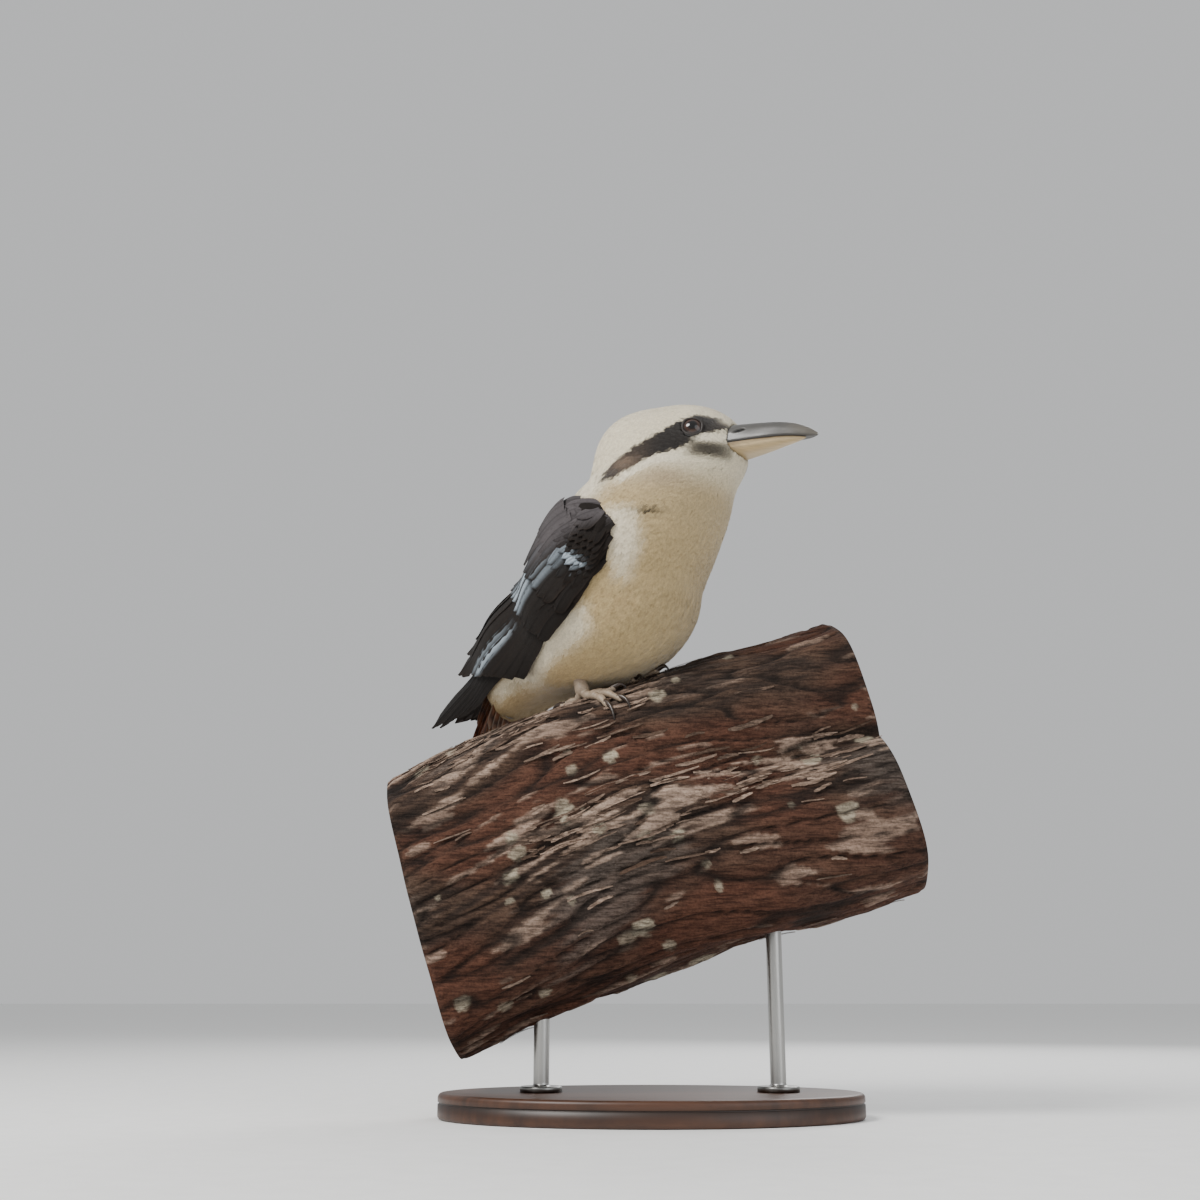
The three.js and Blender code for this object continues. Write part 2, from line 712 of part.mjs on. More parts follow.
// The stand.
function baseGeometry() {
  const outline = new THREE.Shape();
  const [halfLength, halfWidth] = [base.length / 2 - base.bevel, base.width / 2 - base.bevel];
  outline.absellipse(0, 0, halfLength, halfWidth, 0, 2 * Math.PI);
  const geometry = new THREE.ExtrudeGeometry(outline, {
    depth: base.thickness - 2 * base.bevel,
    bevelThickness: base.bevel,
    bevelSize: base.bevel,
    bevelSegments: 1,
    curveSegments: base.segments,
  });
  return geometry.translate(0, 0, base.bevel);
}

function rodSolid(x, grown = 0) {
  const bottom = base.thickness + gap;
  const top = perchUnderside(x) + rod.socketDepth;
  const profile = [
    [0, bottom],
    [rod.flangeRadius, bottom],
    [rod.flangeRadius, bottom + rod.flangeThickness * 0.6],
    [rod.flangeRadius - 1.5, bottom + rod.flangeThickness],
    [rod.radius + 1.5, bottom + rod.flangeThickness],
    [rod.radius + grown, bottom + rod.flangeThickness + 2],
    [rod.radius + grown, top + grown],
    [0, top + grown],
  ].map(([radius, height]) => new THREE.Vector2(radius, height));
  const geometry = new THREE.LatheGeometry(profile, rod.sides);
  geometry.rotateX(Math.PI / 2).translate(x, 0, 0);
  return solid(geometry);
}

// Height of the perch's underside over the base's long axis.
function perchUnderside(x) {
  let [low, high] = [0, perch.centreHeight];
  for (let i = 0; i < 30; i++) {
    const middle = (low + high) / 2;
    if (outsidePerch(new THREE.Vector3(x, 0, middle)) > 0) low = middle;
    else high = middle;
  }
  return low;
}

const group = new THREE.Group();
const inBird = new THREE.Group();
inBird.applyMatrix4(birdMatrix);
group.add(inBird);

function addMesh(parent, name, geometry, look) {
  const mesh = new THREE.Mesh(geometry, look);
  mesh.name = name;
  parent.add(mesh);
}

addMesh(group, "stand_base", geometryOf(solid(baseGeometry())), stainedWood);
const rods = rod.places.map((x) => rodSolid(x));
["left", "right"].forEach((name, i) => addMesh(group, `stand_rod_${name}`, geometryOf(rods[i]), steel));

const grownFeet = fuse(Object.values(sides).map((side) => foot(side, gap)));
const grownShanks = fuse(Object.values(sides).map((side) => shank(side, gap)));
const cutPerch = perchSolid()
  .subtract(fuse(rod.places.map((x) => rodSolid(x, gap))))
  .subtract(grownFeet.add(grownShanks).transform(birdMatrix.elements));
addMesh(group, "perch_branch", geometryOf(cutPerch), bark);

const perchGrown = perchSolid(gap).transform(birdInverse.elements);
const trunk = bodyStretch(sharesOf(stretches.torso));
addMesh(inBird, "torso", geometryOf(trunk.subtract(perchGrown).subtract(grownFeet)), buff);
addMesh(inBird, "neck", geometryOf(bodyStretch(sharesOf(stretches.neck))), cream);

const mandibles = [
  ["bill_upper", bill.upper, 1, blackHorn],
  ["bill_lower", bill.lower, -1, paleHorn],
];
let skull = bodyStretch(sharesOf(stretches.head));
for (const side of Object.values(sides)) skull = skull.add(lids(side));
for (const [, rows, side] of mandibles) skull = skull.subtract(mandible(rows, side, gap));
for (const side of Object.values(sides)) {
  skull = skull.subtract(eyeball(side, gap));
}
addMesh(inBird, "head", geometryOf(skull), cream);

for (const [name, rows, side, look] of mandibles) {
  let made = mandible(rows, side);
  if (side > 0) {
    for (const nostril of Object.values(sides)) {
      const { at, half } = bill.nostril;
      made = made.subtract(ball([at[0], nostril * at[1], at[2]], half, headMatrix, [10, 6]));
    }
  }
  for (const eyeSide of Object.values(sides)) {
    made = made.subtract(eyeball(eyeSide, gap));
  }
  addMesh(inBird, name, geometryOf(made), look);
}

// Everything on one side of the bird's middle, less a narrow gap, to cut from the other side's wing.
function otherSide(side) {
  const size = 400;
  const box = new THREE.BoxGeometry(size, size, size);
  return solid(box.translate(0, (-side * size) / 2 + side * gap, 0));
}

// The left wing is a mirror image, held a little higher.
function raised(geometry) {
  const [x, y, z] = wing.shoulder;
  return geometry.translate(-x, y, -z).rotateY(wing.raise).translate(x, -y, z);
}

const bodyRoom = bodyGrown.add(trunk);
const rightWing = wingSolid();
for (const [name, side] of Object.entries(sides)) {
  addMesh(inBird, `eye_${name}`, geometryOf(eyeball(side)), wetBrown);
  const feathered = side > 0 ? solid(raised(mirrored(geometryOf(rightWing)))) : rightWing;
  const fitted = feathered.subtract(bodyRoom).subtract(otherSide(side));
  addMesh(inBird, `wing_${name}`, geometryOf(fitted), darkBrown);
  addMesh(inBird, `leg_${name}`, geometryOf(shank(side).subtract(bodyGrown).add(foot(side))), greySkin);
}
addMesh(inBird, "tail", geometryOf(tailSolid().subtract(bodyGrown)), rufous);

export default group;
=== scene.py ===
# Laughing kookaburra on a cut limb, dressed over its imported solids.
# Plumage and bill are worked out in millimetres in the bird's own frame: +X to the front, +Y to its left.
import math
import bpy
import numpy as np
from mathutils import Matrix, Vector, kdtree, noise


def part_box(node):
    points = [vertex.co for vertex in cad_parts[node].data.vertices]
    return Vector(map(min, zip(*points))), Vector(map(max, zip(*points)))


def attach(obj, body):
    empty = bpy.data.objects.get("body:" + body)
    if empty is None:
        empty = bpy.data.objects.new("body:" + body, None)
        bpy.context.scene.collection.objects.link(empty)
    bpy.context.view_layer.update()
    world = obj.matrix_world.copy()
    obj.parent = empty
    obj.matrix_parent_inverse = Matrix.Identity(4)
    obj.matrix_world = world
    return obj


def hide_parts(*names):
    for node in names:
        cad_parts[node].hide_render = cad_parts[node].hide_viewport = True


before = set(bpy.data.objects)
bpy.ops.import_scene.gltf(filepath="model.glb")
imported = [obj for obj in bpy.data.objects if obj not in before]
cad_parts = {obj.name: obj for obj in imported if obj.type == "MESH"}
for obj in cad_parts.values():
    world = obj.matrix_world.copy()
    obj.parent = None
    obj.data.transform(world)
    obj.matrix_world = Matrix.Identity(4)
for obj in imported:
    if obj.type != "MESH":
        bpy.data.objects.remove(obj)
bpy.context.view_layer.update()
degree = math.pi / 180
millimetre = 0.001
print("frame loaded,", len(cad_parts), "solids")


# Plain helpers
def turnY(angle):
    c, s = math.cos(angle), math.sin(angle)
    return np.array([[c, 0, s], [0, 1, 0], [-s, 0, c]])


def turnZ(angle):
    c, s = math.cos(angle), math.sin(angle)
    return np.array([[c, -s, 0], [s, c, 0], [0, 0, 1]])


def ease(low, high, value):
    share = np.clip((value - low) / (high - low), 0, 1)
    return share * share * (3 - 2 * share)


def mix(first, second, share):
    return first + (second - first) * share


def unit(vectors):
    return vectors / np.maximum(np.linalg.norm(vectors, axis=-1, keepdims=True), 1e-9)


def palette(**shown):
    # colours from 0 to 255 as a screen shows them, made linear
    shown = {name: np.array(colour) / 255 for name, colour in shown.items()}
    return {name: np.where(c < 0.04045, c / 12.92, ((c + 0.055) / 1.055) ** 2.4) for name, c in shown.items()}


def wobble(points, scale, seed=0.0):
    # smooth noise from -1 to 1 at each point
    return np.array([noise.noise(Vector(p) / scale + Vector((seed, seed, seed))) for p in points.tolist()])


def between(low, full, fall, end, value):
    # rises from low to full and goes back from fall to end
    return ease(low, full, value) * (1 - ease(fall, end, value))


def blob(value, centre, width, power=2):
    # 1 at the centre, fading out at about the width
    return np.exp(-(((value - centre) / width) ** power))


def fullTurn(count):
    return np.linspace(0, 2 * math.pi, count, endpoint=False)


def smoothed(rows, times):
    # every row but the first and the last is drawn towards its neighbours
    for _ in range(times):
        rows[1:-1] = (rows[:-2] + rows[1:-1] * 2 + rows[2:]) / 4
    return rows


birdPlace = {"at": (-30, 2, 241.04), "yaw": -40}
headPlace = {"centre": (67.5, 1.2, 147.5), "yaw": 9, "pitch": -4}
birdTurn = turnZ(birdPlace["yaw"] * degree)
headTurn = turnZ(headPlace["yaw"] * degree) @ turnY(-headPlace["pitch"] * degree)
headCentre = np.array(headPlace["centre"])


def birdToWorld(points):
    return (points @ birdTurn.T + np.array(birdPlace["at"])) * millimetre


def toHead(points):
    return (points - headCentre) @ headTurn


def fromHead(points):
    return np.asarray(points, float) @ headTurn.T + headCentre


# Objects, and meshes from arrays
def addObject(name, data):
    made = bpy.data.objects.new(name, data)
    bpy.context.scene.collection.objects.link(made)
    return made


def makePiece(name, points, faces, material, replaced=(), tones=None, bake=None, lie=None, facing=None,
              toWorld=birdToWorld):
    # points, tones, bake and lie may be lists of parts, and faces may mix triangles, quads and larger ones
    given = (points, tones, bake, lie)
    points, tones, bake, lie = (np.concatenate(part) if isinstance(part, list) else part for part in given)
    points = toWorld(points)
    faces = [np.asarray(f) for f in (faces if isinstance(faces, list) else [faces]) if len(f)]
    mesh = bpy.data.meshes.new(name)
    corners = np.concatenate([f.ravel() for f in faces]).astype(np.int32)
    sizes = np.concatenate([np.full(len(f), f.shape[1]) for f in faces]).astype(np.int32)
    mesh.vertices.add(len(points))
    mesh.vertices.foreach_set("co", np.asarray(points, np.float32).ravel())
    mesh.loops.add(len(corners))
    mesh.loops.foreach_set("vertex_index", corners)
    mesh.polygons.add(len(sizes))
    starts = np.concatenate([[0], np.cumsum(sizes)[:-1]]).astype(np.int32)
    mesh.polygons.foreach_set("loop_start", starts)
    mesh.polygons.foreach_set("loop_total", sizes)
    mesh.update(calc_edges=True)
    mesh.polygons.foreach_set("use_smooth", np.full(len(sizes), True))
    if tones is not None:
        layer = mesh.color_attributes.new("tone", "FLOAT_COLOR", "POINT")
        rgba = np.concatenate([np.clip(tones, 0, 1), np.ones((len(tones), 1))], 1)
        layer.data.foreach_set("color", rgba.astype(np.float32).ravel())
    for label, places in (("OFBake", bake), ("lie", lie)):
        if places is not None:
            layer = mesh.uv_layers.new(name=label)
            layer.data.foreach_set("uv", np.asarray(places, np.float32)[corners].ravel())
    mesh.validate()
    if facing is not None:
        mesh.normals_split_custom_set_from_vertices(facing.tolist())
    piece = addObject(name, mesh)
    mesh.materials.append(material)
    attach(piece, "root")
    if replaced:
        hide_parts(*replaced)
    return piece


def gridFaces(rows, columns, closed=False):
    # quads of a grid of points, closed across its columns where asked
    row, column = np.meshgrid(np.arange(rows - 1), np.arange(columns if closed else columns - 1), indexing="ij")
    after = (column + 1) % columns
    here, below = row * columns, (row + 1) * columns
    return np.stack([here + column, here + after, below + after, below + column], -1).reshape(-1, 4)


# Materials: small node helpers
def feed(node, sockets):
    # sockets holds a link or a plain value for each socket
    for name, value in sockets.items():
        if isinstance(value, bpy.types.NodeSocket):
            node.id_data.links.new(value, node.inputs[name])
        else:
            node.inputs[name].default_value = value


def addNode(tree, kind, sockets, **settings):
    node = tree.nodes.new(kind)
    for name, value in settings.items():
        setattr(node, name, value)
    feed(node, sockets)
    return node


def shaderOf(tree):
    return tree.nodes["Principled BSDF"]


def newMaterial(name, look):
    # look holds plain values for the shader
    material = bpy.data.materials.new(name)
    material.use_nodes = True
    feed(shaderOf(material.node_tree), look)
    return material


def noiseNode(tree, scale, detail=4, roughness=0.55, stretch=(1, 1, 1), turn=(0, 0, 0)):
    place = addNode(tree, "ShaderNodeTexCoord", {}).outputs["Object"]
    mapping = addNode(tree, "ShaderNodeMapping", {"Vector": place, "Scale": stretch, "Rotation": turn})
    values = {"Vector": mapping.outputs["Vector"], "Scale": scale, "Detail": detail, "Roughness": roughness}
    return addNode(tree, "ShaderNodeTexNoise", values).outputs["Fac"]


def rampNode(tree, source, stops):
    ramp = addNode(tree, "ShaderNodeValToRGB", {"Fac": source})
    for element, (place, colour) in zip(ramp.color_ramp.elements, stops):
        element.position = place
        element.color = (*colour, 1)
    return ramp.outputs["Color"]


def multiplied(tree, first, second):
    # 0, 6 and 7 are the node's factor and its two colours, and 2 is the colour that comes out
    colours = {0: 1.0, 6: first, 7: second}
    return addNode(tree, "ShaderNodeMix", colours, data_type="RGBA", blend_type="MULTIPLY").outputs[2]


def addBump(tree, height, strength, distance):
    bump = addNode(tree, "ShaderNodeBump", {"Strength": strength, "Distance": distance, "Height": height})
    feed(shaderOf(tree), {"Normal": bump.outputs["Normal"]})


def tonedMaterial(name, look, grains, bump=None):
    # the colour worked out for each point, broken up by each grain; where asked they raise a fine relief too
    material = newMaterial(name, look)
    tree = material.node_tree
    colour = addNode(tree, "ShaderNodeVertexColor", {}, layer_name="tone").outputs["Color"]
    height = None
    for grain, stops in grains:
        spread = noiseNode(tree, **grain)
        colour = multiplied(tree, colour, rampNode(tree, spread, stops))
        both = {0: height, 1: spread}
        height = addNode(tree, "ShaderNodeMath", both, operation="ADD").outputs[0] if height else spread
    feed(shaderOf(tree), {"Base Color": colour})
    if bump:
        addBump(tree, height, *bump)
    return material


def plumageMaterial(name, roughness, sheen, barbs=70, bump=0.35, gloss=0.25):
    # the barbs are slanting lines along each feather
    look = {"Roughness": roughness, "Sheen Weight": sheen, "Sheen Roughness": 0.5, "Specular IOR Level": gloss}
    speckle = ({"scale": 900, "detail": 3}, [(0.3, (0.78, 0.77, 0.75)), (0.7, (1, 1, 1))])
    material = tonedMaterial(name, look, [speckle])
    tree = material.node_tree
    lie = addNode(tree, "ShaderNodeUVMap", {}, uv_map="lie").outputs["UV"]
    slant = {"Vector": lie, "Rotation": (0, 0, 0.6), "Scale": (barbs, barbs * 0.25, 1)}
    slanted = addNode(tree, "ShaderNodeMapping", slant).outputs["Vector"]
    lines = addNode(tree, "ShaderNodeTexWave", {"Vector": slanted, "Scale": 1.0, "Distortion": 1.2})
    addBump(tree, lines.outputs["Fac"], bump, 0.0003)
    return material


# Body: rounded forms that run into one another. Centre, half sizes and pitch of each.
bodyShape = {
    "blend": 16,
    "body": [
        ((14, 0, 70), (70, 52, 43), 50),
        ((36, 0, 98), (48, 47, 44), 40),
        ((17, 0, 48.5), (50, 45, 36), 18),
        ((-48, 0, 38), (46, 32, 24), 40),
        ((-58, 0, 18), (26, 21, 15), 56),
        ((-4, 18, 32), (24, 15, 19), 24),
        ((-4, -18, 32), (24, 15, 19), 24),
        ((-27, 0, 27), (32, 27, 19), 26),
        ((59, 0, 121), (38, 38, 36), 60),
    ],
    "head": [
        ((-10, 0, 1), (40, 28.5, 22), 0),
        ((14, 0, 1), (23, 19, 15), -12),
        ((-4, 0, -7), (33, 26.5, 19), -8),
        ((8, 0, -16), (29, 19, 14), 8),
        ((-30, 0, -10), (25, 28, 27), 0),
    ],
    "spine": [(-60, 0, 20), (-36, 0, 42), (2, 0, 76), (34, 0, 110), (52, 0, 136), (72, 1, 147)],
}
bodyForms = [(np.array(c, float), np.array(h, float), turnY(-p * degree)) for c, h, p in bodyShape["body"]]
bodyForms += [(fromHead(c), np.array(h, float), headTurn @ turnY(-p * degree)) for c, h, p in bodyShape["head"]]


def bodyDistance(points):
    nearest = np.full(len(points), 1e9)
    for centre, half, turn in bodyForms:
        local = (points - centre) @ turn
        scaled = np.linalg.norm(local / half, axis=1)
        slope = np.maximum(np.linalg.norm(local / half**2, axis=1), 1e-9)
        distance = scaled * (scaled - 1) / slope
        blend = np.maximum(bodyShape["blend"] - np.abs(nearest - distance), 0) / bodyShape["blend"]
        nearest = np.minimum(nearest, distance) - blend**2 * bodyShape["blend"] / 4
    return nearest


def slopeOf(level, points, step=0.4):
    shifts = np.eye(3) * step
    return unit(np.stack([level(points + s) - level(points - s) for s in shifts], 1))


spineKnots = np.array(bodyShape["spine"], float)
spineSteps = np.concatenate([[0], np.cumsum(np.linalg.norm(np.diff(spineKnots, axis=0), axis=1))])
spineShares = np.linspace(0, 1, 120)
spineSpots = spineShares * spineSteps[-1]
spinePoints = smoothed(np.stack([np.interp(spineSpots, spineSteps, knots) for knots in spineKnots.T], 1), 12)
spineRuns = unit(np.gradient(spinePoints, axis=0))
spineSkip = 3  # the nearest place is looked for at every third point


def alongSpine(points):
    # nearest place on the spine: its share, direction, and the upward direction across it
    gaps = ((points[:, None, :] - spinePoints[None, ::spineSkip]) ** 2).sum(2)
    nearest = np.argmin(gaps, 1) * spineSkip
    runs = spineRuns[nearest]
    upward = unit(np.stack([-runs[:, 2], np.zeros(len(runs)), runs[:, 0]], 1))
    return spineShares[nearest], runs, upward, spinePoints[nearest]


def bakePlace(points):
    # unwrap of the skin: angle round the spine, and place along it
    share, runs, upward, middle = alongSpine(points)
    out = points - middle
    side = np.cross(upward, runs)
    angle = np.arctan2((out * side).sum(1), (out * upward).sum(1))
    reach = share * 0.8 + 0.1 + 0.1 * np.clip((out * runs).sum(1) / 50, -1, 1)
    return np.stack([0.02 + 0.96 * (angle / (2 * math.pi) + 0.5), 0.02 + 0.96 * reach], 1)


billBase = np.array([34.0, 0.0, -4.0])
coatDepths = {"atBill": 1.8, "more": 4.4, "from": 14, "to": 90}


def coatDepth(points):
    # the skin lies this far under the outside of the plumage
    reach = np.linalg.norm(toHead(points) - billBase, axis=1)
    return coatDepths["atBill"] + coatDepths["more"] * ease(coatDepths["from"], coatDepths["to"], reach)


def layOf(points, normals):
    # which way the plumage lies: away from the bill on the head, and down the spine on the body
    runs = alongSpine(points)[1]
    fromBill = toHead(points) - billBase
    reach = np.linalg.norm(fromBill, axis=1)[:, None]
    headLay = unit(fromBill) @ headTurn.T
    way = mix(headLay, -runs, ease(42, 92, reach))
    return unit(way - normals * (way * normals).sum(1)[:, None])


# Markings
plumageTones = palette(
    cream=(226, 215, 188),
    # the collar's pale tone, also used for painted sunlight beside the wing's bend and on the flank
    collar=(236, 226, 202),
    # belly and flank: buff, darkened partly as painted shade of the underside
    belly=(184, 161, 117),
    flank=(170, 144, 102),
    stripe=(50, 39, 30),
    mask=(28, 22, 18),
    stripeEnd=(112, 92, 74),
    crown=(128, 104, 80),
    # painted shade on the throat under the cheek
    cheekWash=(168, 148, 118),
    # painted shadow under the gape; the same tone colours a dark fleck on the breast
    malar=(40, 33, 24),
    mantle=(78, 60, 47),
    rump=(120, 102, 84),
)


headSpots = [
    # tone, centre and half size forward and up, sharpness, where it starts aside, strength
    ("cream", 33, 2.6, 6.4, 2.2, 2, (6, 9), 1.2),
    ("cheekWash", 5, 13, -31, 6, 2, (6, 16), 0.75),
    ("malar", 27, 11, -12.8, 4.6, 4, (7, 11), 0.95),
]
# the stripe's half height at places forward of the head's middle, and the height of the pale cheek's line
stripeHalf = [-32, -22, -12, 0, 12, 20, 30, 36], [4.5, 7.5, 7.5, 7, 9, 8.5, 4.5, 2.5]
cheekLine = [-18, -10, -1, 12, 26], [-32, -27, -21, -18.5, -14.5]


def plumageTone(points, normals, chance):
    # chance is a draw from 0 to 1 for each feather
    px, py, pz = points.T
    h = toHead(points)
    x, side, z = h[:, 0], np.abs(h[:, 1]), h[:, 2]
    share, _, upward, _ = alongSpine(points)
    upness = (normals * upward).sum(1)
    jitter = chance - 0.5
    tones = np.tile(plumageTones["cream"], (len(points), 1))

    def lay(name, amount):
        tones[:] = mix(tones, plumageTones[name], np.clip(amount, 0, 1)[:, None])

    # neck, belly and flank; the buff of the belly and the flank is darkened partly as painted shade of the
    # underside
    lay("collar", ease(-18, -40, x) * ease(-8, -30, z))
    lay("belly", (1 - ease(0.62, 0.86, share)) * (1 - ease(-0.1, 0.4, upness)))
    lay("belly", ease(-18, -40, z) * (1 - ease(-0.2, 0.3, upness)) * 0.9)
    lay("flank", (1 - ease(0.1, 0.42, share)) * (0.3 + 0.5 * chance))
    bars = np.sin(share * 150 + 5 * jitter) * ease(0.2, 0.6, np.abs(normals[:, 1]))
    lay("flank", 0.35 * np.clip(bars * (1 - ease(0.5, 0.7, share)), 0, 1))
    # mantle and back
    back = ease(-0.05, 0.25, upness + 0.15 * jitter)
    lay("mantle", (1 - ease(0.55, 0.61, share + 0.03 * jitter)) * back)
    lay("rump", (1 - ease(0.1, 0.22, share)) * ease(0.1, 0.4, upness) * 0.7)
    # crown
    crown = ease(10, 15, z + 2 * jitter) * (1 - ease(9, 17, side + 4 * jitter)) * between(-48, -36, 26, 34, x)
    lay("crown", crown * (0.12 + 0.55 * chance**1.5))
    # the dark stripe through the eye, paler at its end
    middleZ = np.where(x > 20, -0.5 + 0.3 * (x - 20), -6 + 0.55 * (x - 10))
    half = np.interp(x, *stripeHalf)
    stripe = 1 - ease(half - 1.2, half + 1.2, np.abs(z - middleZ) + 1.6 * jitter)
    stripe = stripe * ease(-34, -28, x + 4 * jitter) * ease(6, 12, side)
    lay("stripe", stripe)
    lay("mask", stripe * between(-10, 4, 24, 34, x))
    lay("stripeEnd", stripe * blob(x, -18, 8) * blob(z, -21.5, 4.5) * 0.9)
    # the pale spot before it, painted shade on the throat under the cheek, and a painted shadow under the gape
    for name, placeX, halfX, placeZ, halfZ, power, aside, strength in headSpots:
        lay(name, blob(x, placeX, halfX, power) * blob(z, placeZ, halfZ, power) * ease(*aside, side) * strength)
    gape = blob(z, 0.07 * (x - 28) - 5.6, 2.3, 4) * ease(8, 12, side)
    lay("collar", gape * between(17, 24, 38, 42, x))
    pale = blob(z, np.interp(x, *cheekLine), 3.2, 4) * between(-24, -16, 10, 20, x) * ease(14, 22, side)
    lay("collar", pale * (1 - stripe) * 0.9)
    # painted sunlight: pale patches beside the wing's bend, and along the flank under the wing
    bend = blob(px, 52, 9, 4) * between(54, 64, 96, 104, pz) * ease(26, 36, np.abs(py))
    under = blob(pz, 5 + 0.365 * (px + 70), 8, 4) * between(-76, -60, 20, 34, px) * ease(12, 20, np.abs(py))
    lay("collar", np.maximum(bend, under) * 0.8)
    # this fleck uses the tone of the painted shadow under the gape
    # a dark fleck on the side of the breast
    lay("malar", blob(px, 66, 7) * blob(pz, 97.5, 1.9) * ease(20, 30, -py) * 0.9)
    return tones * (0.955 + 0.09 * chance[:, None])


# Skin: one closed surface under all the plumage
skinCut = {"low": (-92, -60, -12), "high": (116, 60, 184), "step": 2.6}


def closedSurface(level, low, high, step):
    axes = [np.arange(a, b, step) for a, b in zip(low, high)]
    grid = np.stack(np.meshgrid(*axes, indexing="ij"), -1)
    values = level(grid.reshape(-1, 3)).reshape(grid.shape[:3])
    cells = tuple(n - 1 for n in values.shape)
    corners = [(i, j, k) for i in (0, 1) for j in (0, 1) for k in (0, 1)]
    cut = lambda array, c: array[c[0]:c[0] + cells[0], c[1]:c[1] + cells[1], c[2]:c[2] + cells[2]]
    inside = sum(cut(values, c) < 0 for c in corners)
    mixed = (inside > 0) & (inside < 8)
    order = np.full(cells, -1)
    order[mixed] = np.arange(mixed.sum())
    total, hits = np.zeros((mixed.sum(), 3)), np.zeros((mixed.sum(), 1))
    for a in corners:
        for axis in range(3):
            if a[axis]:
                continue
            b = tuple(1 if i == axis else a[i] for i in range(3))
            va, vb = cut(values, a)[mixed], cut(values, b)[mixed]
            crossed = (va < 0) != (vb < 0)
            share = np.where(crossed, va / np.where(crossed, va - vb, 1), 0)[:, None]
            place = mix(cut(grid, a)[mixed], cut(grid, b)[mixed], share)
            total += place * crossed[:, None]
            hits += crossed[:, None]
    points = total / hits
    faces = []
    for axis in range(3):
        near, far = [slice(1, -1)] * 3, [slice(1, -1)] * 3
        near[axis], far[axis] = slice(0, -1), slice(1, None)
        va, vb = values[tuple(near)], values[tuple(far)]
        for flipped, crossed in ((False, (va < 0) & (vb >= 0)), (True, (va >= 0) & (vb < 0))):
            spots = np.argwhere(crossed)
            spots[:, [i for i in range(3) if i != axis]] += 1
            u, v = np.eye(3, dtype=int)[(axis + 1) % 3], np.eye(3, dtype=int)[(axis + 2) % 3]
            ring = [spots, spots - u, spots - u - v, spots - v]
            quad = np.stack([order[tuple(r.T)] for r in ring], 1)
            faces.append(quad[:, ::-1] if flipped else quad)
    for _ in range(3):
        points -= slopeOf(level, points) * level(points)[:, None]
    return points, np.concatenate(faces)


def skinLevel(points):
    return bodyDistance(points) + coatDepth(points)


skinPoints, skinFaces = closedSurface(skinLevel, **skinCut)
skinNormals = slopeOf(bodyDistance, skinPoints)
softPlumage = plumageMaterial("soft_plumage", 0.86, 0.35)
skinTones = plumageTone(skinPoints, skinNormals, np.full(len(skinPoints), 0.5))
skinPlaces = bakePlace(skinPoints)
makePiece("skin", skinPoints, skinFaces, softPlumage,
          ("torso", "neck", "head"), skinTones, skinPlaces, skinPlaces * 4)
print("skin:", len(skinFaces), "faces")


# Small feathers: a vane of slanting barbs, closed near the shaft and parted into fine points at its edge
featherForms = {
    "variants": 9, "patchy": 0.07, "swing": 0.11, "bakePatch": 0.003,
    # shares of the feather's length, or of its barbs' for closed
    "slant": 0.4, "first": 0.04, "reach": 0.8, "closed": 0.66, "droop": 0.02, "rooted": 0.36,
}


def softFeather(barbs, seed):
    # points as (along, across, height), shade of each, and three faces for every barb
    draw = np.random.default_rng(seed)
    f = featherForms
    points, shades, quads, tips = [], [], [], []
    for side in (-1, 1):
        for k in range(barbs):
            share = (k + 0.5) / barbs
            start = f["first"] + f["reach"] * k / barbs
            end = start + f["reach"] / barbs * 1.4
            wide = 0.5 * (0.3 + 0.7 * math.sin(math.pi * (0.18 + 0.7 * share))) * (1 - 0.6 * share**4)
            wide *= draw.uniform(0.86, 1.1)
            slant = f["slant"] * (1 - 0.5 * share) * draw.uniform(0.85, 1.2)
            knee = start + slant * f["closed"]
            lift = draw.uniform(-0.006, 0.008)
            first = len(points)
            across = side * wide * f["closed"]
            far = knee + (end - start) * 0.95
            points += [(start, 0, 0), (end, 0, 0.004), (far, across, lift - f["droop"] * 0.3)]
            points += [(knee, across, lift - f["droop"] * 0.4)]
            points += [(start + slant + 0.03, side * wide, lift - f["droop"])]
            shades += [1 + draw.uniform(-f["patchy"], f["patchy"] * 0.6)] * 5
            turn = 1 if side > 0 else -1
            quads.append([first, first + 1, first + 2, first + 3][::turn])
            tips.append([first + 3, first + 2, first + 4][::turn])
    return np.array(points), np.array(shades), np.array(quads), np.array(tips)


def thinOut(points, gaps, seed):
    # keeps points that are at least their own gap apart, taken in a drawn order
    tree = kdtree.KDTree(len(points))
    for i, p in enumerate(points.tolist()):
        tree.insert(p, i)
    tree.balance()
    dropped, kept = np.zeros(len(points), bool), []
    for i in np.random.default_rng(seed).permutation(len(points)).tolist():
        if not dropped[i]:
            kept.append(i)
            for _, j, _ in tree.find_range(points[i], gaps[i]):
                dropped[j] = True
    return np.array(kept)


def spotsOnSkin(count, seed):
    draw = np.random.default_rng(seed)
    corners = skinPoints[skinFaces]
    areas = np.linalg.norm(np.cross(corners[:, 2] - corners[:, 0], corners[:, 3] - corners[:, 1]), axis=1) / 2
    chosen = draw.choice(len(areas), count, p=areas / areas.sum())
    u, v = draw.random((2, count, 1))
    c = corners[chosen]
    return mix(mix(c[:, 0], c[:, 1], u), mix(c[:, 3], c[:, 2], u), v)


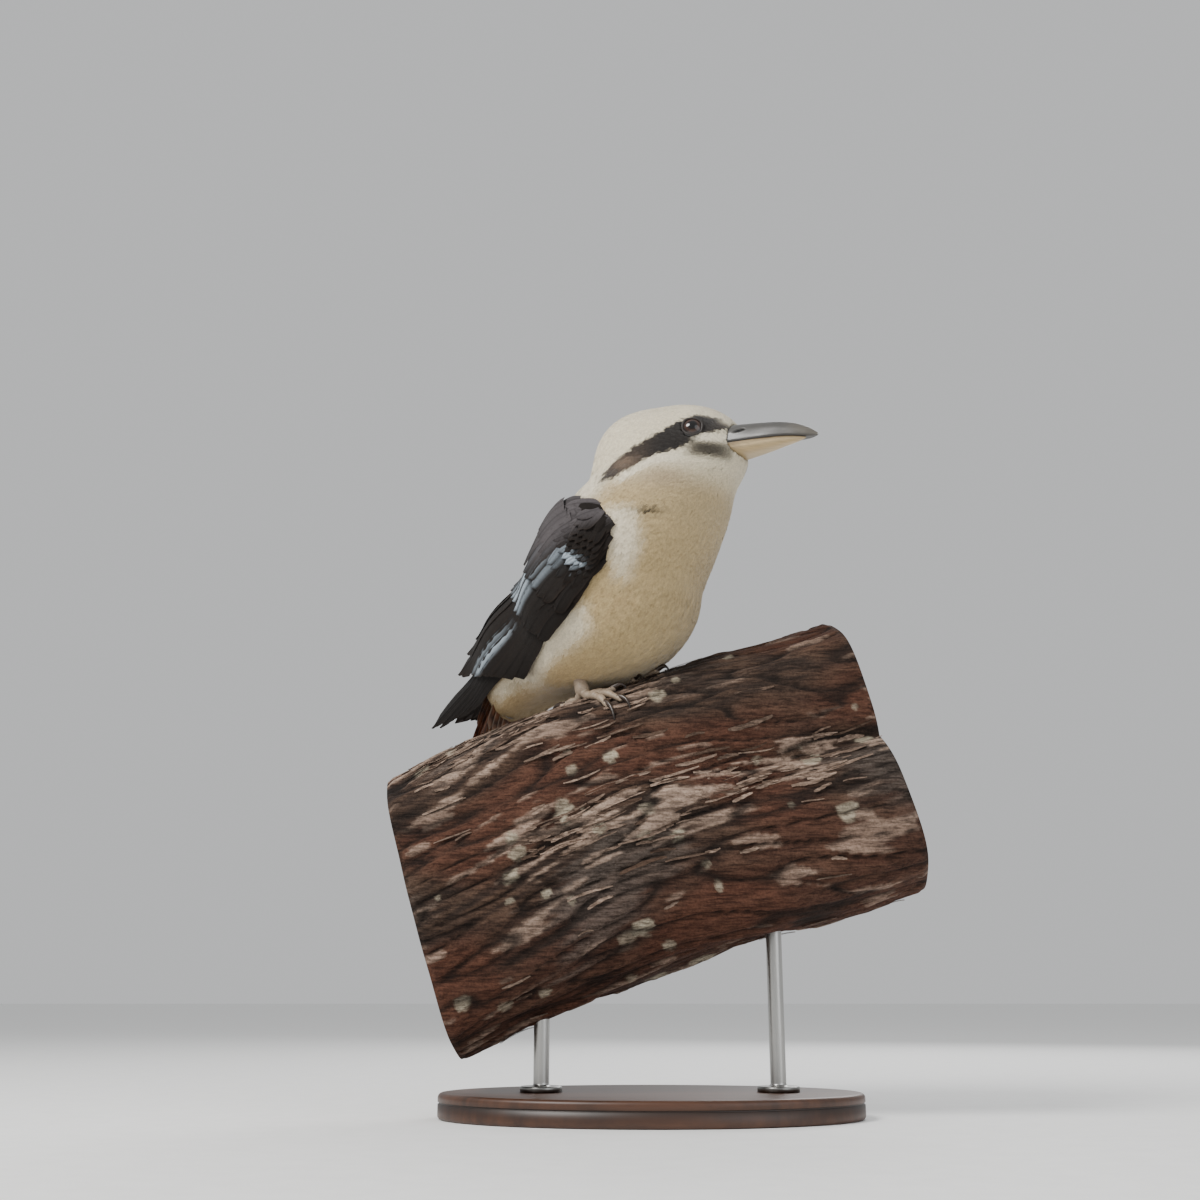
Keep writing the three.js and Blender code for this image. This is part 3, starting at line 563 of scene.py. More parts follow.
def plantFeathers(name, roots, lengths, widths, lifts, barbs, seed):
    # sets a feather on each root so that it springs from the skin and lies along the plumage's outside
    draw = np.random.default_rng(seed)
    normals = slopeOf(bodyDistance, roots)
    lays = layOf(roots, normals)
    sides = np.cross(normals, lays)
    swing = draw.normal(0, featherForms["swing"], (len(roots), 1))
    lays, sides = unit(lays + sides * swing), unit(sides - lays * swing)
    depths = coatDepth(roots)
    chance = draw.random(len(roots))
    shades = plumageTone(roots + lays * (lengths * 0.7)[:, None], normals, chance)
    forms = [softFeather(barbs, seed * 31 + k) for k in range(featherForms["variants"])]
    kinds = draw.integers(0, len(forms), len(roots))
    points, quads, tips, tones, bakes, lies, facing = [], [], [], [], [], [], []
    patch = bakePlace(roots)
    count = 0
    for kind, (form, barbShade, quad, tip) in enumerate(forms):
        own = np.nonzero(kinds == kind)[0]
        if not len(own):
            continue
        s, t, z = form[:, 0], form[:, 1], form[:, 2]
        along = lengths[own, None] * s
        across = widths[own, None] * t
        places = roots[own, None] + lays[own, None] * along[..., None] + sides[own, None] * across[..., None]
        flat = places.reshape(-1, 3)
        rooted = 1 - ease(0, featherForms["rooted"], s)
        rise = -depths[own, None] * rooted + lifts[own, None] * (1.4 * s - 0.4)
        rise = rise + z * lengths[own, None]
        shift = rise.ravel() - bodyDistance(flat)
        flat = flat + np.repeat(normals[own], len(form), 0) * shift[:, None]
        base = count + np.arange(len(own))[:, None, None] * len(form)
        quads.append((base + quad).reshape(-1, 4))
        tips.append((base + tip).reshape(-1, 3))
        points.append(flat)
        fade = (0.84 + 0.2 * ease(0.1, 0.8, s) - 0.05 * (np.abs(t) < 0.02)) * barbShade
        tones.append((shades[own, None] * fade[:, None]).reshape(-1, 3))
        spread = np.stack([t, s - 0.5], 1) * featherForms["bakePatch"]
        bakes.append((patch[own, None] + spread).reshape(-1, 2))
        chances = np.repeat(chance[own], len(form))[:, None]
        lies.append(np.tile(np.stack([s, t], 1), (len(own), 1)) + chances)
        lean = sides[own, None] * (t * 0.5)[:, None] - lays[own, None] * (0.32 * (1 - s))[:, None]
        facing.append(unit(normals[own, None] + lean).reshape(-1, 3))
        count += len(flat)
    faces = [np.concatenate(quads), np.concatenate(tips)]
    facing = np.concatenate(facing) @ birdTurn.T
    makePiece(name, points, faces, softPlumage, (), tones, bakes, lies, facing)
    print(name + ":", len(roots), "feathers,", len(faces[0]) * 2 + len(faces[1]), "triangles")


# Eyes: where they look, in the head's frame
eyes = {
    "at": (16.9, 21.7, -0.9), "radius": 8.2, "opening": 5.2, "lid": 0.62, "forward": 27, "upward": 11,
    "pupil": (2.6, 3.0), "irisEdge": (4.0, 5.2), "bulge": 0.05,
}


def eyeAxis(side):
    f, u = eyes["forward"] * degree, eyes["upward"] * degree
    return np.array([math.sin(f) * math.cos(u), side * math.cos(f) * math.cos(u), math.sin(u)])


def offEye(points):
    # distance from the nearer eye's line of sight, for points in the bird's frame
    h = toHead(points)
    gaps = []
    for side in (-1, 1):
        out = h - np.array(eyes["at"]) * (1, side, 1)
        axis = eyeAxis(side)
        reach = out @ axis
        gap = np.linalg.norm(out - reach[:, None] * axis, axis=1)
        gaps.append(np.where(reach > 0, gap, np.inf))
    return np.minimum(*gaps)


# Wings: places along and across the wing, on a bed that wraps the body
wing = {
    "shoulder": (42, -44, 84), "tip": (-126, -14, -4), "facing": (0.15, -1, 0.35),
    "clearance": 1.6, "core": 44, "blend": 10, "swellFrom": 50, "swellTo": 120, "swellTurn": 0.7, "swell": 5.5,
    "raise": 3,
}
shoulder = np.array(wing["shoulder"], float)
wingRun = unit(np.array(wing["tip"], float) - shoulder)
wingOut = np.array(wing["facing"], float)
wingOut = unit(wingOut - wingRun * (wingOut @ wingRun))
wingAcross = np.cross(wingRun, wingOut)
bedSteps = (3.0, 2.0)
bedRuns, bedSpots = np.arange(-16, 213, bedSteps[0]), np.arange(-48, 66, bedSteps[1])


def wingRay(s, t):
    angle = t / wing["core"]
    origin = shoulder + s[..., None] * wingRun - wing["core"] * wingOut
    way = np.cos(angle)[..., None] * wingOut + np.sin(angle)[..., None] * wingAcross
    return origin, way, angle


def measureBed():
    # how far out the wing lies along each ray, over the body and over its own round core
    s, t = np.meshgrid(bedRuns, bedSpots, indexing="ij")
    origin, way, angle = wingRay(s, t)
    found = np.zeros(s.shape)
    for reach in np.arange(90, 0, -1.5):
        gap = bodyDistance((origin + way * reach).reshape(-1, 3)).reshape(s.shape)
        found = np.where((found == 0) & (gap < wing["clearance"]), reach + wing["clearance"] - gap, found)
    near = np.maximum(wing["blend"] - np.abs(found - wing["core"]), 0) / wing["blend"]
    radius = np.maximum(found, wing["core"]) + near**2 * wing["blend"] / 4
    swell = wing["swell"] * ease(wing["swellFrom"], wing["swellTo"], s) * ease(0, wing["swellTurn"], angle)
    return radius + swell


bedTable = measureBed()


def onWing(s, t, height, side=-1):
    s, t, height = np.broadcast_arrays(s, t, height)
    i = np.clip((s - bedRuns[0]) / bedSteps[0], 0, len(bedRuns) - 1.001)
    j = np.clip((t - bedSpots[0]) / bedSteps[1], 0, len(bedSpots) - 1.001)
    i0, j0 = i.astype(int), j.astype(int)
    low = mix(bedTable[i0, j0], bedTable[i0, j0 + 1], j - j0)
    high = mix(bedTable[i0 + 1, j0], bedTable[i0 + 1, j0 + 1], j - j0)
    origin, way, _ = wingRay(s.astype(float), t.astype(float))
    points = origin + way * (mix(low, high, i - i0) + height)[..., None]
    if side > 0:
        points = points * (1, -1, 1)
        hinge = shoulder * (1, 0, 1)
        points = (points - hinge) @ turnY(wing["raise"] * degree).T + hinge
    return points


# Sleek feathers: a ridge of shaft with a smooth vane either side, laid on a curved surface
plainFeather = {"root": 0.6, "blunt": 0.16, "shaft": 0.0, "slip": 0.18, "bow": 0, "camber": 0.9, "tilt": 0}
vane = {"shaftWidth": 0.06, "shaftHeight": 0.32, "leastTip": 0.04, "ragged": 0.018}


def sleekFeather(surface, feather, rows, toneOf, draw):
    f = {**plainFeather, **feather}
    start, end = np.array(f["from"], float), np.array(f["to"], float)
    run = end - start
    length = np.linalg.norm(run)
    across = np.array([-run[1], run[0]]) / length
    s = np.linspace(0, 1, rows)[:, None]
    columns = np.array([-1, -0.8, -0.55, -0.3, -0.07, 0, 0.07, 0.3, 0.55, 0.8, 1])
    body = np.clip(f["root"] + (1 - f["root"]) * ease(0, 0.35, s), 0, 1)
    tip = np.sqrt(np.clip(1 - ((s - (1 - f["blunt"])) / f["blunt"]).clip(0) ** 2, 0, 1))
    half = f["width"] / 2 * body * np.maximum(tip, vane["leastTip"])
    ragged = 1 + draw.normal(0, vane["ragged"], (rows, 2))
    side = np.where(columns < 0, columns * (1 - f["shaft"]), columns * (1 + f["shaft"]))
    off = half * side * np.where(columns < 0, ragged[:, :1], ragged[:, 1:])
    slip = f["slip"] * half * np.abs(columns)
    place = start + run * s
    spotS = place[:, :1] + across[0] * off + run[0] / length * slip * (1 - s)
    spotT = place[:, 1:] + across[1] * off + run[1] / length * slip * (1 - s)
    spotT = spotT + f["bow"] * np.sin(math.pi * s)
    camber = f["camber"] * (1 - columns**2) + vane["shaftHeight"] * blob(columns, 0, vane["shaftWidth"])
    points = surface(spotS, spotT, mix(*f["lift"], s) + camber * body + f["tilt"] * off)
    along, aside = np.broadcast_arrays(s, columns)
    tones = toneOf(along, aside, spotS, spotT, f)
    lie = np.stack([along, aside / 2], -1)
    return points.reshape(-1, 3), gridFaces(rows, len(columns)), tones.reshape(-1, 3), lie.reshape(-1, 2)


def joinFeathers(name, parts, material, replaced):
    points, faces, tones, lies, bakes = [], [], [], [], []
    count, wide = 0, math.ceil(math.sqrt(len(parts)))
    for k, (place, face, shade, lie) in enumerate(parts):
        points.append(place)
        faces.append(face + count)
        tones.append(shade)
        lies.append(lie + (k * 0.37, k * 0.21))
        cell = np.array([k % wide, k // wide]) / wide
        bakes.append(cell + (np.clip(lie + (0, 0.5), 0, 1) * 0.9 + 0.05) / wide)
        count += len(place)
    faces = np.concatenate(faces)
    makePiece(name, points, faces, material, replaced, tones, bakes, lies)
    print(name + ":", len(parts), "feathers,", len(faces) * 2, "triangles")


# Wing plumage
wingTones = palette(
    brown=(27, 22, 19),
    edge=(60, 48, 40),
    sheen=(112, 107, 110),
    blue=(176, 190, 202),
    primary=(25, 21, 19),
)
bluePatches = [(33, -2, 8, 4.5), (17, -5, 5, 4), (64, 5, 15, 8), (84, 12, 14, 8), (110, 1, 9, 4)]
wingRows = [
    # root and tip of the first feather and of the last, widths, lifts, how many, kind, tilt, bluntness, and how
    # far the shaft lies off the middle
    ((60, -16), (160, -12), (66, -2), (198, 1), (11, 12), (-0.8, -0.4), 8, "primary", -0.12, 0.22, 0.25),
    ((58, -20), (106, -23), (64, 16), (158, 13), (15, 16), (0.6, 2.6), 10, "brown", -0.12, 0.16, 0.15),
    ((56, 14), (152, 14), (58, 34), (134, 35), (18, 18), (2.2, 5.0), 4, "brown", -0.1, 0.2, 0.0),
    ((32, -21), (69, -24), (40, 26), (86, 26), (11.5, 12.5), (2.2, 5.6), 11, "brown", -0.12, 0.26, 0.1),
    ((14, -16), (45, -21), (20, 24), (60, 23), (10, 11), (2.6, 6.6), 10, "brown", -0.1, 0.32, 0.0),
    ((4, -10), (28, -19), (8, 20), (38, 22), (8.5, 9), (2.2, 6.4), 11, "brown", -0.08, 0.4, 0.0),
]
wingCoverts = {
    # round the bend: start, length, lift at root and tip; along the top: place across and along, lift, count
    "bend": [(5, 17, 1.4, 5.0), (-1, 16, 0.8, 4.8), (-6, 15, -0.4, 4.2), (-11, 14, -2.2, 3.4)],
    "shoulder": [(25, 8, 3.2, 8), (30, 16, 3.0, 7), (35, 25, 2.6, 7), (40, 34, 2.0, 6), (45, 43, 1.4, 5)],
    "bendWidth": 6.2, "bendGap": 2.5, "edgeWidth": 5.4, "edgeGap": 3.4, "edgeStep": 3.2, "shoulderWidth": 10,
}


def wingTone(s, t, spotS, spotT, feather):
    # s along and t across the feather; the spots are its places on the wing
    tones = np.tile(wingTones[feather["kind"]], s.shape + (1,))
    rim = ease(0.72, 1.0, np.abs(t)) * 0.5 + ease(0.93, 1.0, s) * 0.5
    tones = mix(tones, wingTones["edge"], np.clip(rim, 0, 1)[..., None] * feather["rim"])
    if feather["kind"] == "brown":
        x, y = feather["spot"]
        blue = sum(blob(x, a, c, 4) * blob(y, b, d, 4) for a, b, c, d in bluePatches)
        lean = ease(-0.9, -0.2, t) * ease(0.28, 0.5, s) * (1 - ease(0.92, 1, s) * 0.5)
        tones = mix(tones, wingTones["blue"], np.clip(blue * lean, 0, 0.92)[..., None])
    sheen = ease(-2, 8, spotT) * (1 - ease(24, 60, spotS))
    tones = mix(tones, wingTones["sheen"], (sheen * 0.45)[..., None])
    return tones * (1 - 0.45 * blob(t, 0, vane["shaftWidth"]))[..., None] * feather["shade"]


def wingFeathers(side, draw):
    parts, c = [], wingCoverts

    def lay(rows, start, end, width, lift, spot, shade, rim, tilt, **more):
        feather = {"from": start, "to": end, "width": width, "lift": lift, "spot": spot, "shade": shade,
                   "rim": rim, "tilt": tilt, "kind": "brown", **more}
        parts.append(sleekFeather(lambda s, t, h: onWing(s, t, h, side), feather, rows, wingTone, draw))

    for *ends, widths, lifts, count, kind, tilt, blunt, shaft in wingRows:
        fromA, toA, fromB, toB = np.array(ends, float)
        brown = kind == "brown"
        for k in range(count):
            share = k / (count - 1)
            start = mix(fromA, fromB, share) + draw.normal(0, 0.5, 2)
            end = mix(toA, toB, share**0.9) + draw.normal(0, 0.9, 2)
            width = mix(*widths, share) * draw.uniform(0.96, 1.06)
            top = mix(*lifts, share)
            lay(12 if brown else 15, start, end, width, (top - 0.9, top + 0.5), mix(start, end, 0.72),
                draw.uniform(0.86, 1.12), 0.5 if brown else 0.35, tilt, kind=kind, bow=1.2, blunt=blunt,
                shaft=shaft, root=0.62)
    # small coverts round the bend of the wing
    for r, (s0, length, root, top) in enumerate(c["bend"]):
        low, high = wingEdge(s0 + 5), wingTop(s0 + 5)
        count = int((high - low) / c["bendGap"])
        for k in range(count):
            share = (k + 0.5 * (r % 2) + 0.3) / count
            t = mix(low, high, share)
            start = np.array([s0 + draw.normal(0, 0.5), t])
            fan = mix(wingEdge(s0 + length), wingTop(s0 + length), share)
            rim = ease(0, 0.25, share)
            lift = (root * rim - 2 * (1 - rim), top * (0.4 + 0.6 * rim))
            lay(8, start, (s0 + length, mix(t, fan, 0.6)), c["bendWidth"], lift, start + (length * 0.7, 0),
                draw.uniform(0.85, 1.2), 0.6, -0.05, blunt=0.5)
    # along its lower edge, the upper rows first
    for r in (4, 3, 2, 1, 0):
        for k in range(19 if r < 3 else 6):
            s0 = -9 + c["edgeStep"] * k + c["edgeStep"] / 2 * (r % 2) + draw.normal(0, 0.3)
            start = np.array([s0, min(wingEdge(s0) + c["edgeGap"] * r + 1, wingTop(s0) - 2)])
            end = (s0 + 11, wingEdge(s0 + 11) + c["edgeGap"] * r + 1.5)
            bend = 2.6 * (1 - ease(0, 14, s0))
            lift = (0.4 * r - 0.2 - 0.7 * bend, bend + 1.8 + 0.6 * r)
            lay(8, start, end, c["edgeWidth"], lift, start + (8, 0), draw.uniform(0.85, 1.2), 0.6, -0.04,
                blunt=0.5)
    # and the shoulder feathers along its top
    for t0, s0, lift, count in c["shoulder"]:
        for k in range(count):
            start = np.array([s0 + 10 * k + draw.normal(0, 0.8), t0 + draw.normal(0, 0.6)])
            end = start + (27 + 1.2 * k, -1.5 + 1.2 * draw.normal())
            lifts = (lift - 4.2 + 0.1 * k, lift + 0.8 + 0.1 * k)
            lay(9, start, end, c["shoulderWidth"], lifts, start + (24, 8), draw.uniform(0.9, 1.35), 0.7, 0.04,
                blunt=0.45, root=0.55)
    return parts


wingBed = {"from": -13, "to": 64, "rows": 70, "columns": 64, "height": 2.8, "under": -3.0}


def wingEdge(s):
    # the wing's lower front edge, and below it the top of its coverts
    return np.interp(s, [-12, -6, 7, 28, 51, 86, 126], [6, -2, -14, -23, -23, -18, -19])


def wingTop(s):
    return np.interp(s, [-12, 0, 20, 40, 66], [9, 17, 27, 37, 42])


def wingCushion(side):
    # the closed bed under the coverts, which rounds the wing's bend and meets the body all round
    b = wingBed
    s = np.linspace(b["from"], b["to"], b["rows"])[:, None] * np.ones((1, b["columns"]))
    share = np.linspace(0, 1, b["columns"])[None] * np.ones((b["rows"], 1))
    t = mix(wingEdge(s) - 2, wingTop(s) + 3, share)
    inner = ease(-13, -4, s) * (1 - ease(44, 62, s)) * ease(0, 0.16, share) * (1 - ease(0.8, 1, share))
    inner = inner * (1 - 0.55 * ease(2, 14, s) * (1 - ease(0.12, 0.4, share)))
    points = onWing(s, t, mix(b["under"], b["height"], inner), side)
    tones = np.tile(wingTones["brown"], s.shape + (1,))
    lie = np.stack([s / 20, t / 20], -1)
    return points.reshape(-1, 3), gridFaces(b["rows"], b["columns"]), tones.reshape(-1, 3), lie.reshape(-1, 2)


wingPlumage = plumageMaterial("wing_plumage", 0.62, 0.02, 90, 0.35, 0.1)
for side, label in ((-1, "right"), (1, "left")):
    draw = np.random.default_rng(31 + side)
    feathers = [wingCushion(side)] + wingFeathers(side, draw)
    joinFeathers("wing_" + label + "_plumage", feathers, wingPlumage, ("wing_" + label,))


# Tail
tail = {"root": (-76, 0, 16), "fall": 66, "length": 150, "pairs": 6, "pitch": 2.8, "width": 17, "spread": 0.05,
        "rounding": 8, "step": 0.9}
tailTones = palette(
    rufous=(150, 92, 58), bar=(38, 28, 24), tip=(228, 220, 204),
    covert=(140, 92, 62),
)
fall = tail["fall"] * degree
tailDown = np.array([-math.cos(fall), 0, -math.sin(fall)])
tailBack = np.array([-math.sin(fall), 0, math.cos(fall)])


def onTail(s, t, height):
    s, t, height = np.broadcast_arrays(s, t, height)
    lift = (height - 0.006 * t**2)[..., None]
    return np.array(tail["root"]) + s[..., None] * tailDown + t[..., None] * (0, 1, 0) + lift * tailBack


def tailTone(s, t, spotS, spotT, feather):
    bars = np.sin(spotS / 12.5 * 2 * math.pi + feather["phase"] + 0.9 * np.abs(t) + 0.4 * np.sin(9 * t))
    dark = ease(0.15, 0.55, bars) * ease(0.05, 0.2, s)
    tones = mix(tailTones["rufous"], tailTones["bar"], (dark * 0.95)[..., None])
    pale = ease(0.885, 0.93, s + 0.012 * np.sin(14 * t))
    tones = mix(tones, tailTones["tip"], pale[..., None])
    return tones * (1 - 0.4 * blob(t, 0, vane["shaftWidth"]))[..., None] * feather["shade"]


def covertTone(s, t, spotS, spotT, feather):
    bars = ease(0.2, 0.6, np.sin(s * 19 + feather["phase"] + np.abs(t)))
    tones = mix(tailTones["covert"], tailTones["bar"], (bars * 0.8)[..., None])
    rim = ease(0.82, 1, np.maximum(np.abs(t), s))
    return mix(tones, tailTones["tip"], (rim * 0.35)[..., None]) * feather["shade"]


tailParts = []
draw = np.random.default_rng(51)
for i in range(tail["pairs"]):
    for side in (-1, 1):
        middle = side * (i + 0.5) * tail["pitch"]
        layer = 2 * i + (side > 0) if i < 2 else i + 2
        lift = -layer * tail["step"]
        end = (tail["length"] - tail["rounding"] * (i / tail["pairs"]) ** 2, middle * (1 + tail["spread"] * i))
        feather = {
            "from": (-8, middle * 0.7), "to": end, "width": tail["width"], "lift": (lift, lift), "root": 0.5,
            "blunt": 0.1, "bow": side * 0.6, "shaft": -side * 0.12 * (i > 0), "camber": 0.7, "slip": 0.12,
            "phase": draw.uniform(-0.5, 0.5), "shade": draw.uniform(0.92, 1.08),
        }
        tailParts.append(sleekFeather(onTail, feather, 30, tailTone, draw))
# coverts over its root, above and below: count, start, length and lift of each row
for count, start, length, lift in [(7, 4, 40, 1.6), (7, -8, 36, 2.8), (6, -20, 34, 4.0)]:
    for k in range(count):
        t = mix(-13, 13, (k + 0.5) / count) + draw.normal(0, 0.5)
        for face in (1, -1):
            base = lift if face > 0 else -lift - 7.4 + 0.35 * abs(t)
            end = (start + length + draw.normal(0, 1.5), t * 1.1)
            feather = {
                "from": (start, t * 0.85), "to": end, "width": 11, "lift": (base, base), "blunt": 0.34,
                "camber": 0.8 * face, "phase": draw.uniform(-1, 1), "shade": draw.uniform(0.9, 1.15),
            }
            tailParts.append(sleekFeather(onTail, feather, 10, covertTone, draw))
tailPlumage = plumageMaterial("tail_plumage", 0.6, 0.12, 90, 0.3)
joinFeathers("tail_plumage", tailParts, tailPlumage, ("tail",))


# Bill: both halves lofted finely, with a keel, a hooked tip, nostrils and a plain cutting edge
bill = {
    "mouth": -8.4, "slope": 0.075, "root": 14, "tip": 87.5, "hook": 2.2, "rows": 150, "around": 72,
    "upper": [(14, 17.4, 10), (22, 16, 12.4), (36, 13, 14.2), (50, 10.4, 12.6), (63, 8, 10.8), (75, 5.4, 8.2),
              (83, 3.2, 5), (87.5, 0.5, 1.3)],
    "lower": [(14, 16.4, 7.4), (22, 15, 6.8), (40, 12, 5.8), (51, 9.8, 5.2), (61, 7.4, 4.4), (70, 5, 3.1),
              (76, 2.8, 1.9), (80, 0.4, 0.5)],
    "nostril": (42, 10.2, 0.4), "nostrilHalf": (4.4, 5.0, 1.15),
}
billTones = palette(
    upper=(76, 74, 71), edge=(44, 40, 37), tip=(112, 106, 95), keel=(60, 57, 55),
    lower=(198, 174, 132), lowerRoot=(146, 126, 96), lowerEdge=(112, 92, 68),
    # the nostril tone is painted shade inside the nostrils' hollows
    nostril=(18, 14, 12),
)


def smoothRows(rows, x):
    rows = np.array(rows)
    fine = np.linspace(rows[0, 0], rows[-1, 0], 160)
    table = smoothed(np.stack([np.interp(fine, rows[:, 0], rows[:, i]) for i in (1, 2)], 1), 30)
    return np.interp(x, fine, table[:, 0]), np.interp(x, fine, table[:, 1])


def mouthLine(x):
    return bill["mouth"] + bill["slope"] * (x - bill["root"])


def billHalf(rows, side, seed):
    count, around = bill["rows"], bill["around"]
    x = mix(rows[0][0], rows[-1][0], np.linspace(0, 1, count) ** 0.85)
    wide, tall = smoothRows(rows, x)
    angle = np.linspace(0, math.pi, around)
    drop = bill["hook"] * ease(bill["tip"] - 32, bill["tip"], x) ** 2
    flat = mouthLine(x) - drop + side * 0.15
    cosine, sine = np.cos(angle), np.sin(angle)
    across = wide[:, None] * np.sign(cosine) * np.abs(cosine) ** 0.92
    up = flat[:, None] + side * tall[:, None] * sine**0.85
    points = np.stack([np.repeat(x[:, None], around, 1), across, up], -1)
    nostrilShade = np.zeros((count, around))
    if side > 0:
        rim = blob(sine, 0, 0.16) * (1 - ease(80, 87, x))[:, None]
        points[..., 1] += np.sign(cosine) * 0.35 * rim
        for y in (-1, 1):
            out = (points - np.array(bill["nostril"]) * (1, y, 1)) @ turnY(-12 * degree)
            near = np.linalg.norm(out / np.array(bill["nostrilHalf"]), axis=-1)
            nostrilShade = np.maximum(nostrilShade, 1 - ease(0.55, 0.95, near))
            points[..., 1] -= y * (1.7 * (1 - ease(0.35, 1.0, near)) - 0.12 * blob(near, 1.2, 0.3))
    else:
        groove = blob(up, flat[:, None] - tall[:, None] * 0.35, tall[:, None] * 0.1)
        points[..., 1] -= np.sign(cosine) * 0.22 * groove * (1 - ease(60, 78, x))[:, None]
    grain = wobble((points * (0.35, 1, 1)).reshape(-1, 3), 5, seed).reshape(points.shape[:2])
    points[..., 1] += np.sign(cosine) * 0.1 * grain
    if side > 0:
        share = ease(20, 88, x)[:, None] * np.ones((1, around))
        keel = (sine**6 * 0.8)[None, :, None] * np.ones((count, 1, 1))
        tones = mix(billTones["upper"], billTones["keel"], keel)
        tones = mix(tones, billTones["tip"], (ease(0.75, 1, share) * 0.55)[..., None])
        edge = blob(sine, 0, 0.12)[None, :] * (1 - 0.4 * share)
        tones = mix(tones, billTones["edge"], (edge * 0.85)[..., None])
        # painted shade in the nostrils' hollows
        tones = mix(tones, billTones["nostril"], (nostrilShade * 0.95)[..., None])
    else:
        pale = ease(26, 48, x)[:, None, None] * np.ones((1, around, 1))
        tones = mix(billTones["lowerRoot"], billTones["lower"], pale)
        tones = mix(tones, billTones["lowerEdge"], blob(sine, 0, 0.2)[None, :, None] * 0.7)
    tones = tones * (1 + 0.07 * grain[..., None])
    points = fromHead(points.reshape(-1, 3))
    faces = gridFaces(count, around, closed=True)
    if side < 0:
        faces = faces[:, ::-1]
    ends = [np.arange(around)[None, ::side], (np.arange(around) + (count - 1) * around)[None, ::-side]]
    return points, [faces] + ends, tones.reshape(-1, 3)


def hornMaterial(name, roughness, coat):
    look = {"Roughness": roughness, "Coat Weight": coat, "Coat Roughness": 0.12}
    fibre = {"scale": 1.0, "detail": 5, "roughness": 0.6, "stretch": (90, 900, 900),
             "turn": (0, 0, -(birdPlace["yaw"] + headPlace["yaw"]) * degree)}
    stops = [(0.3, (0.7, 0.7, 0.7)), (0.7, (1, 1, 1))]
    return tonedMaterial(name, look, [(fibre, stops)], (0.12, 0.0002))


for label, side, roughness, coat in (("upper", 1, 0.36, 0.2), ("lower", -1, 0.4, 0.1)):
    points, faces, tones = billHalf(bill[label], side, 3.0 + side)
    horn = hornMaterial(label + "_bill_horn", roughness, coat)
    makePiece("bill_" + label + "_horn", points, faces, horn, ("bill_" + label,), tones)
print("bill: both halves")


# Eyes: a dark, wet ball with a brown iris, in a thin bare ring
eyeTones = palette(pupil=(6, 5, 5), iris=(56, 32, 19), rim=(20, 13, 9), ring=(40, 33, 29))


def eyeFrame(side):
    axis = eyeAxis(side)
    forward = unit(np.array([1, 0, 0]) - axis * axis[0])
    return np.array(eyes["at"]) * (1, side, 1), axis, forward, np.cross(axis, forward)


def eyeBall(side):
    centre, axis, forward, up = eyeFrame(side)
    rows, around = 40, 48
    turn = np.linspace(0, math.pi, rows)[:, None]
    angle = fullTurn(around)[None]
    radius = eyes["radius"] * (1 + eyes["bulge"] * blob(turn, 0, 0.5))
    out, reach = radius * np.sin(turn), radius * np.cos(turn)
    points = centre + axis * reach[..., None] * np.ones((1, around, 1))
    points = points + forward * (out * np.cos(angle))[..., None] + up * (out * np.sin(angle))[..., None]
    wide = out * np.ones_like(angle)
    grain = 0.5 + 0.5 * np.sin(angle * 34 + 2 * np.sin(angle * 9))
    tones = mix(eyeTones["iris"], eyeTones["rim"], ease(*eyes["irisEdge"], wide)[..., None])
    tones = tones * (0.75 + 0.5 * grain[..., None])
    tones = mix(tones, eyeTones["pupil"], (1 - ease(*eyes["pupil"], wide))[..., None])
    tones[rows // 2:] = eyeTones["rim"]
    return fromHead(points.reshape(-1, 3)), gridFaces(rows, around, True), tones.reshape(-1, 3)


def eyeRing(side):
    # the lids: a thin roll of skin with fine folds
    centre, axis, forward, up = eyeFrame(side)
    around, across = 96, 14
    angle, turn = fullTurn(around), fullTurn(across)
    opening = eyes["opening"] * (1 + 0.06 * np.cos(2 * angle)) - 0.55 * np.abs(np.cos(angle)) ** 10
    brow = 0.35 * blob(np.sin(angle), 1, 0.5)
    folds = 0.06 * np.sin(angle * 30)
    roll = eyes["lid"] * (1 + 0.12 * np.sin(3 * angle))
    points = []
    for k in range(around):
        spoke = forward * math.cos(angle[k]) * 1.06 + up * math.sin(angle[k])
        height = math.sqrt(eyes["radius"] ** 2 - opening[k] ** 2) - 0.2
        middle = centre + spoke * (opening[k] + roll[k] * 0.8) + axis * (height + brow[k])
        for q in range(across):
            size = roll[k] + folds[k] * (1 + math.cos(turn[q]))
            points.append(middle + spoke * math.cos(turn[q]) * size + axis * math.sin(turn[q]) * size * 0.75)
    ring = np.tile(eyeTones["ring"], (len(points), 1))
    ring = ring * (0.85 + 0.3 * (0.5 + 0.5 * wobble(np.array(points), 1.2, 5)))[:, None]
    faces = gridFaces(around + 1, across, True) % (around * across)
    return fromHead(np.array(points)), faces, ring


def eyeMaterial():
    look = {"Roughness": 0.16, "Specular IOR Level": 0.3, "Coat Weight": 0.6, "Coat Roughness": 0.02}
    flecks = ({"scale": 2600, "detail": 3}, [(0.3, (0.7, 0.7, 0.7)), (0.7, (1, 1, 1))])
    return tonedMaterial("wet_eye", look, [flecks])


def skinMaterial(name, roughness, scale, bump):
    pores = ({"scale": scale}, [(0.3, (0.7, 0.68, 0.66)), (0.65, (1, 1, 1))])
    return tonedMaterial(name, {"Roughness": roughness}, [pores], (bump, 0.0003))


wetEye, bareRing = eyeMaterial(), skinMaterial("bare_ring", 0.55, 2200, 0.4)
for side, label in ((-1, "right"), (1, "left")):
    points, faces, tones = eyeBall(side)
    makePiece("eye_" + label + "_ball", points, faces, wetEye, ("eye_" + label,), tones)
    points, faces, tones = eyeRing(side)
    if side < 0:
        faces = faces[:, ::-1]
    makePiece("eye_ring_" + label, points, faces, bareRing, (), tones)
print("eyes and their rings")


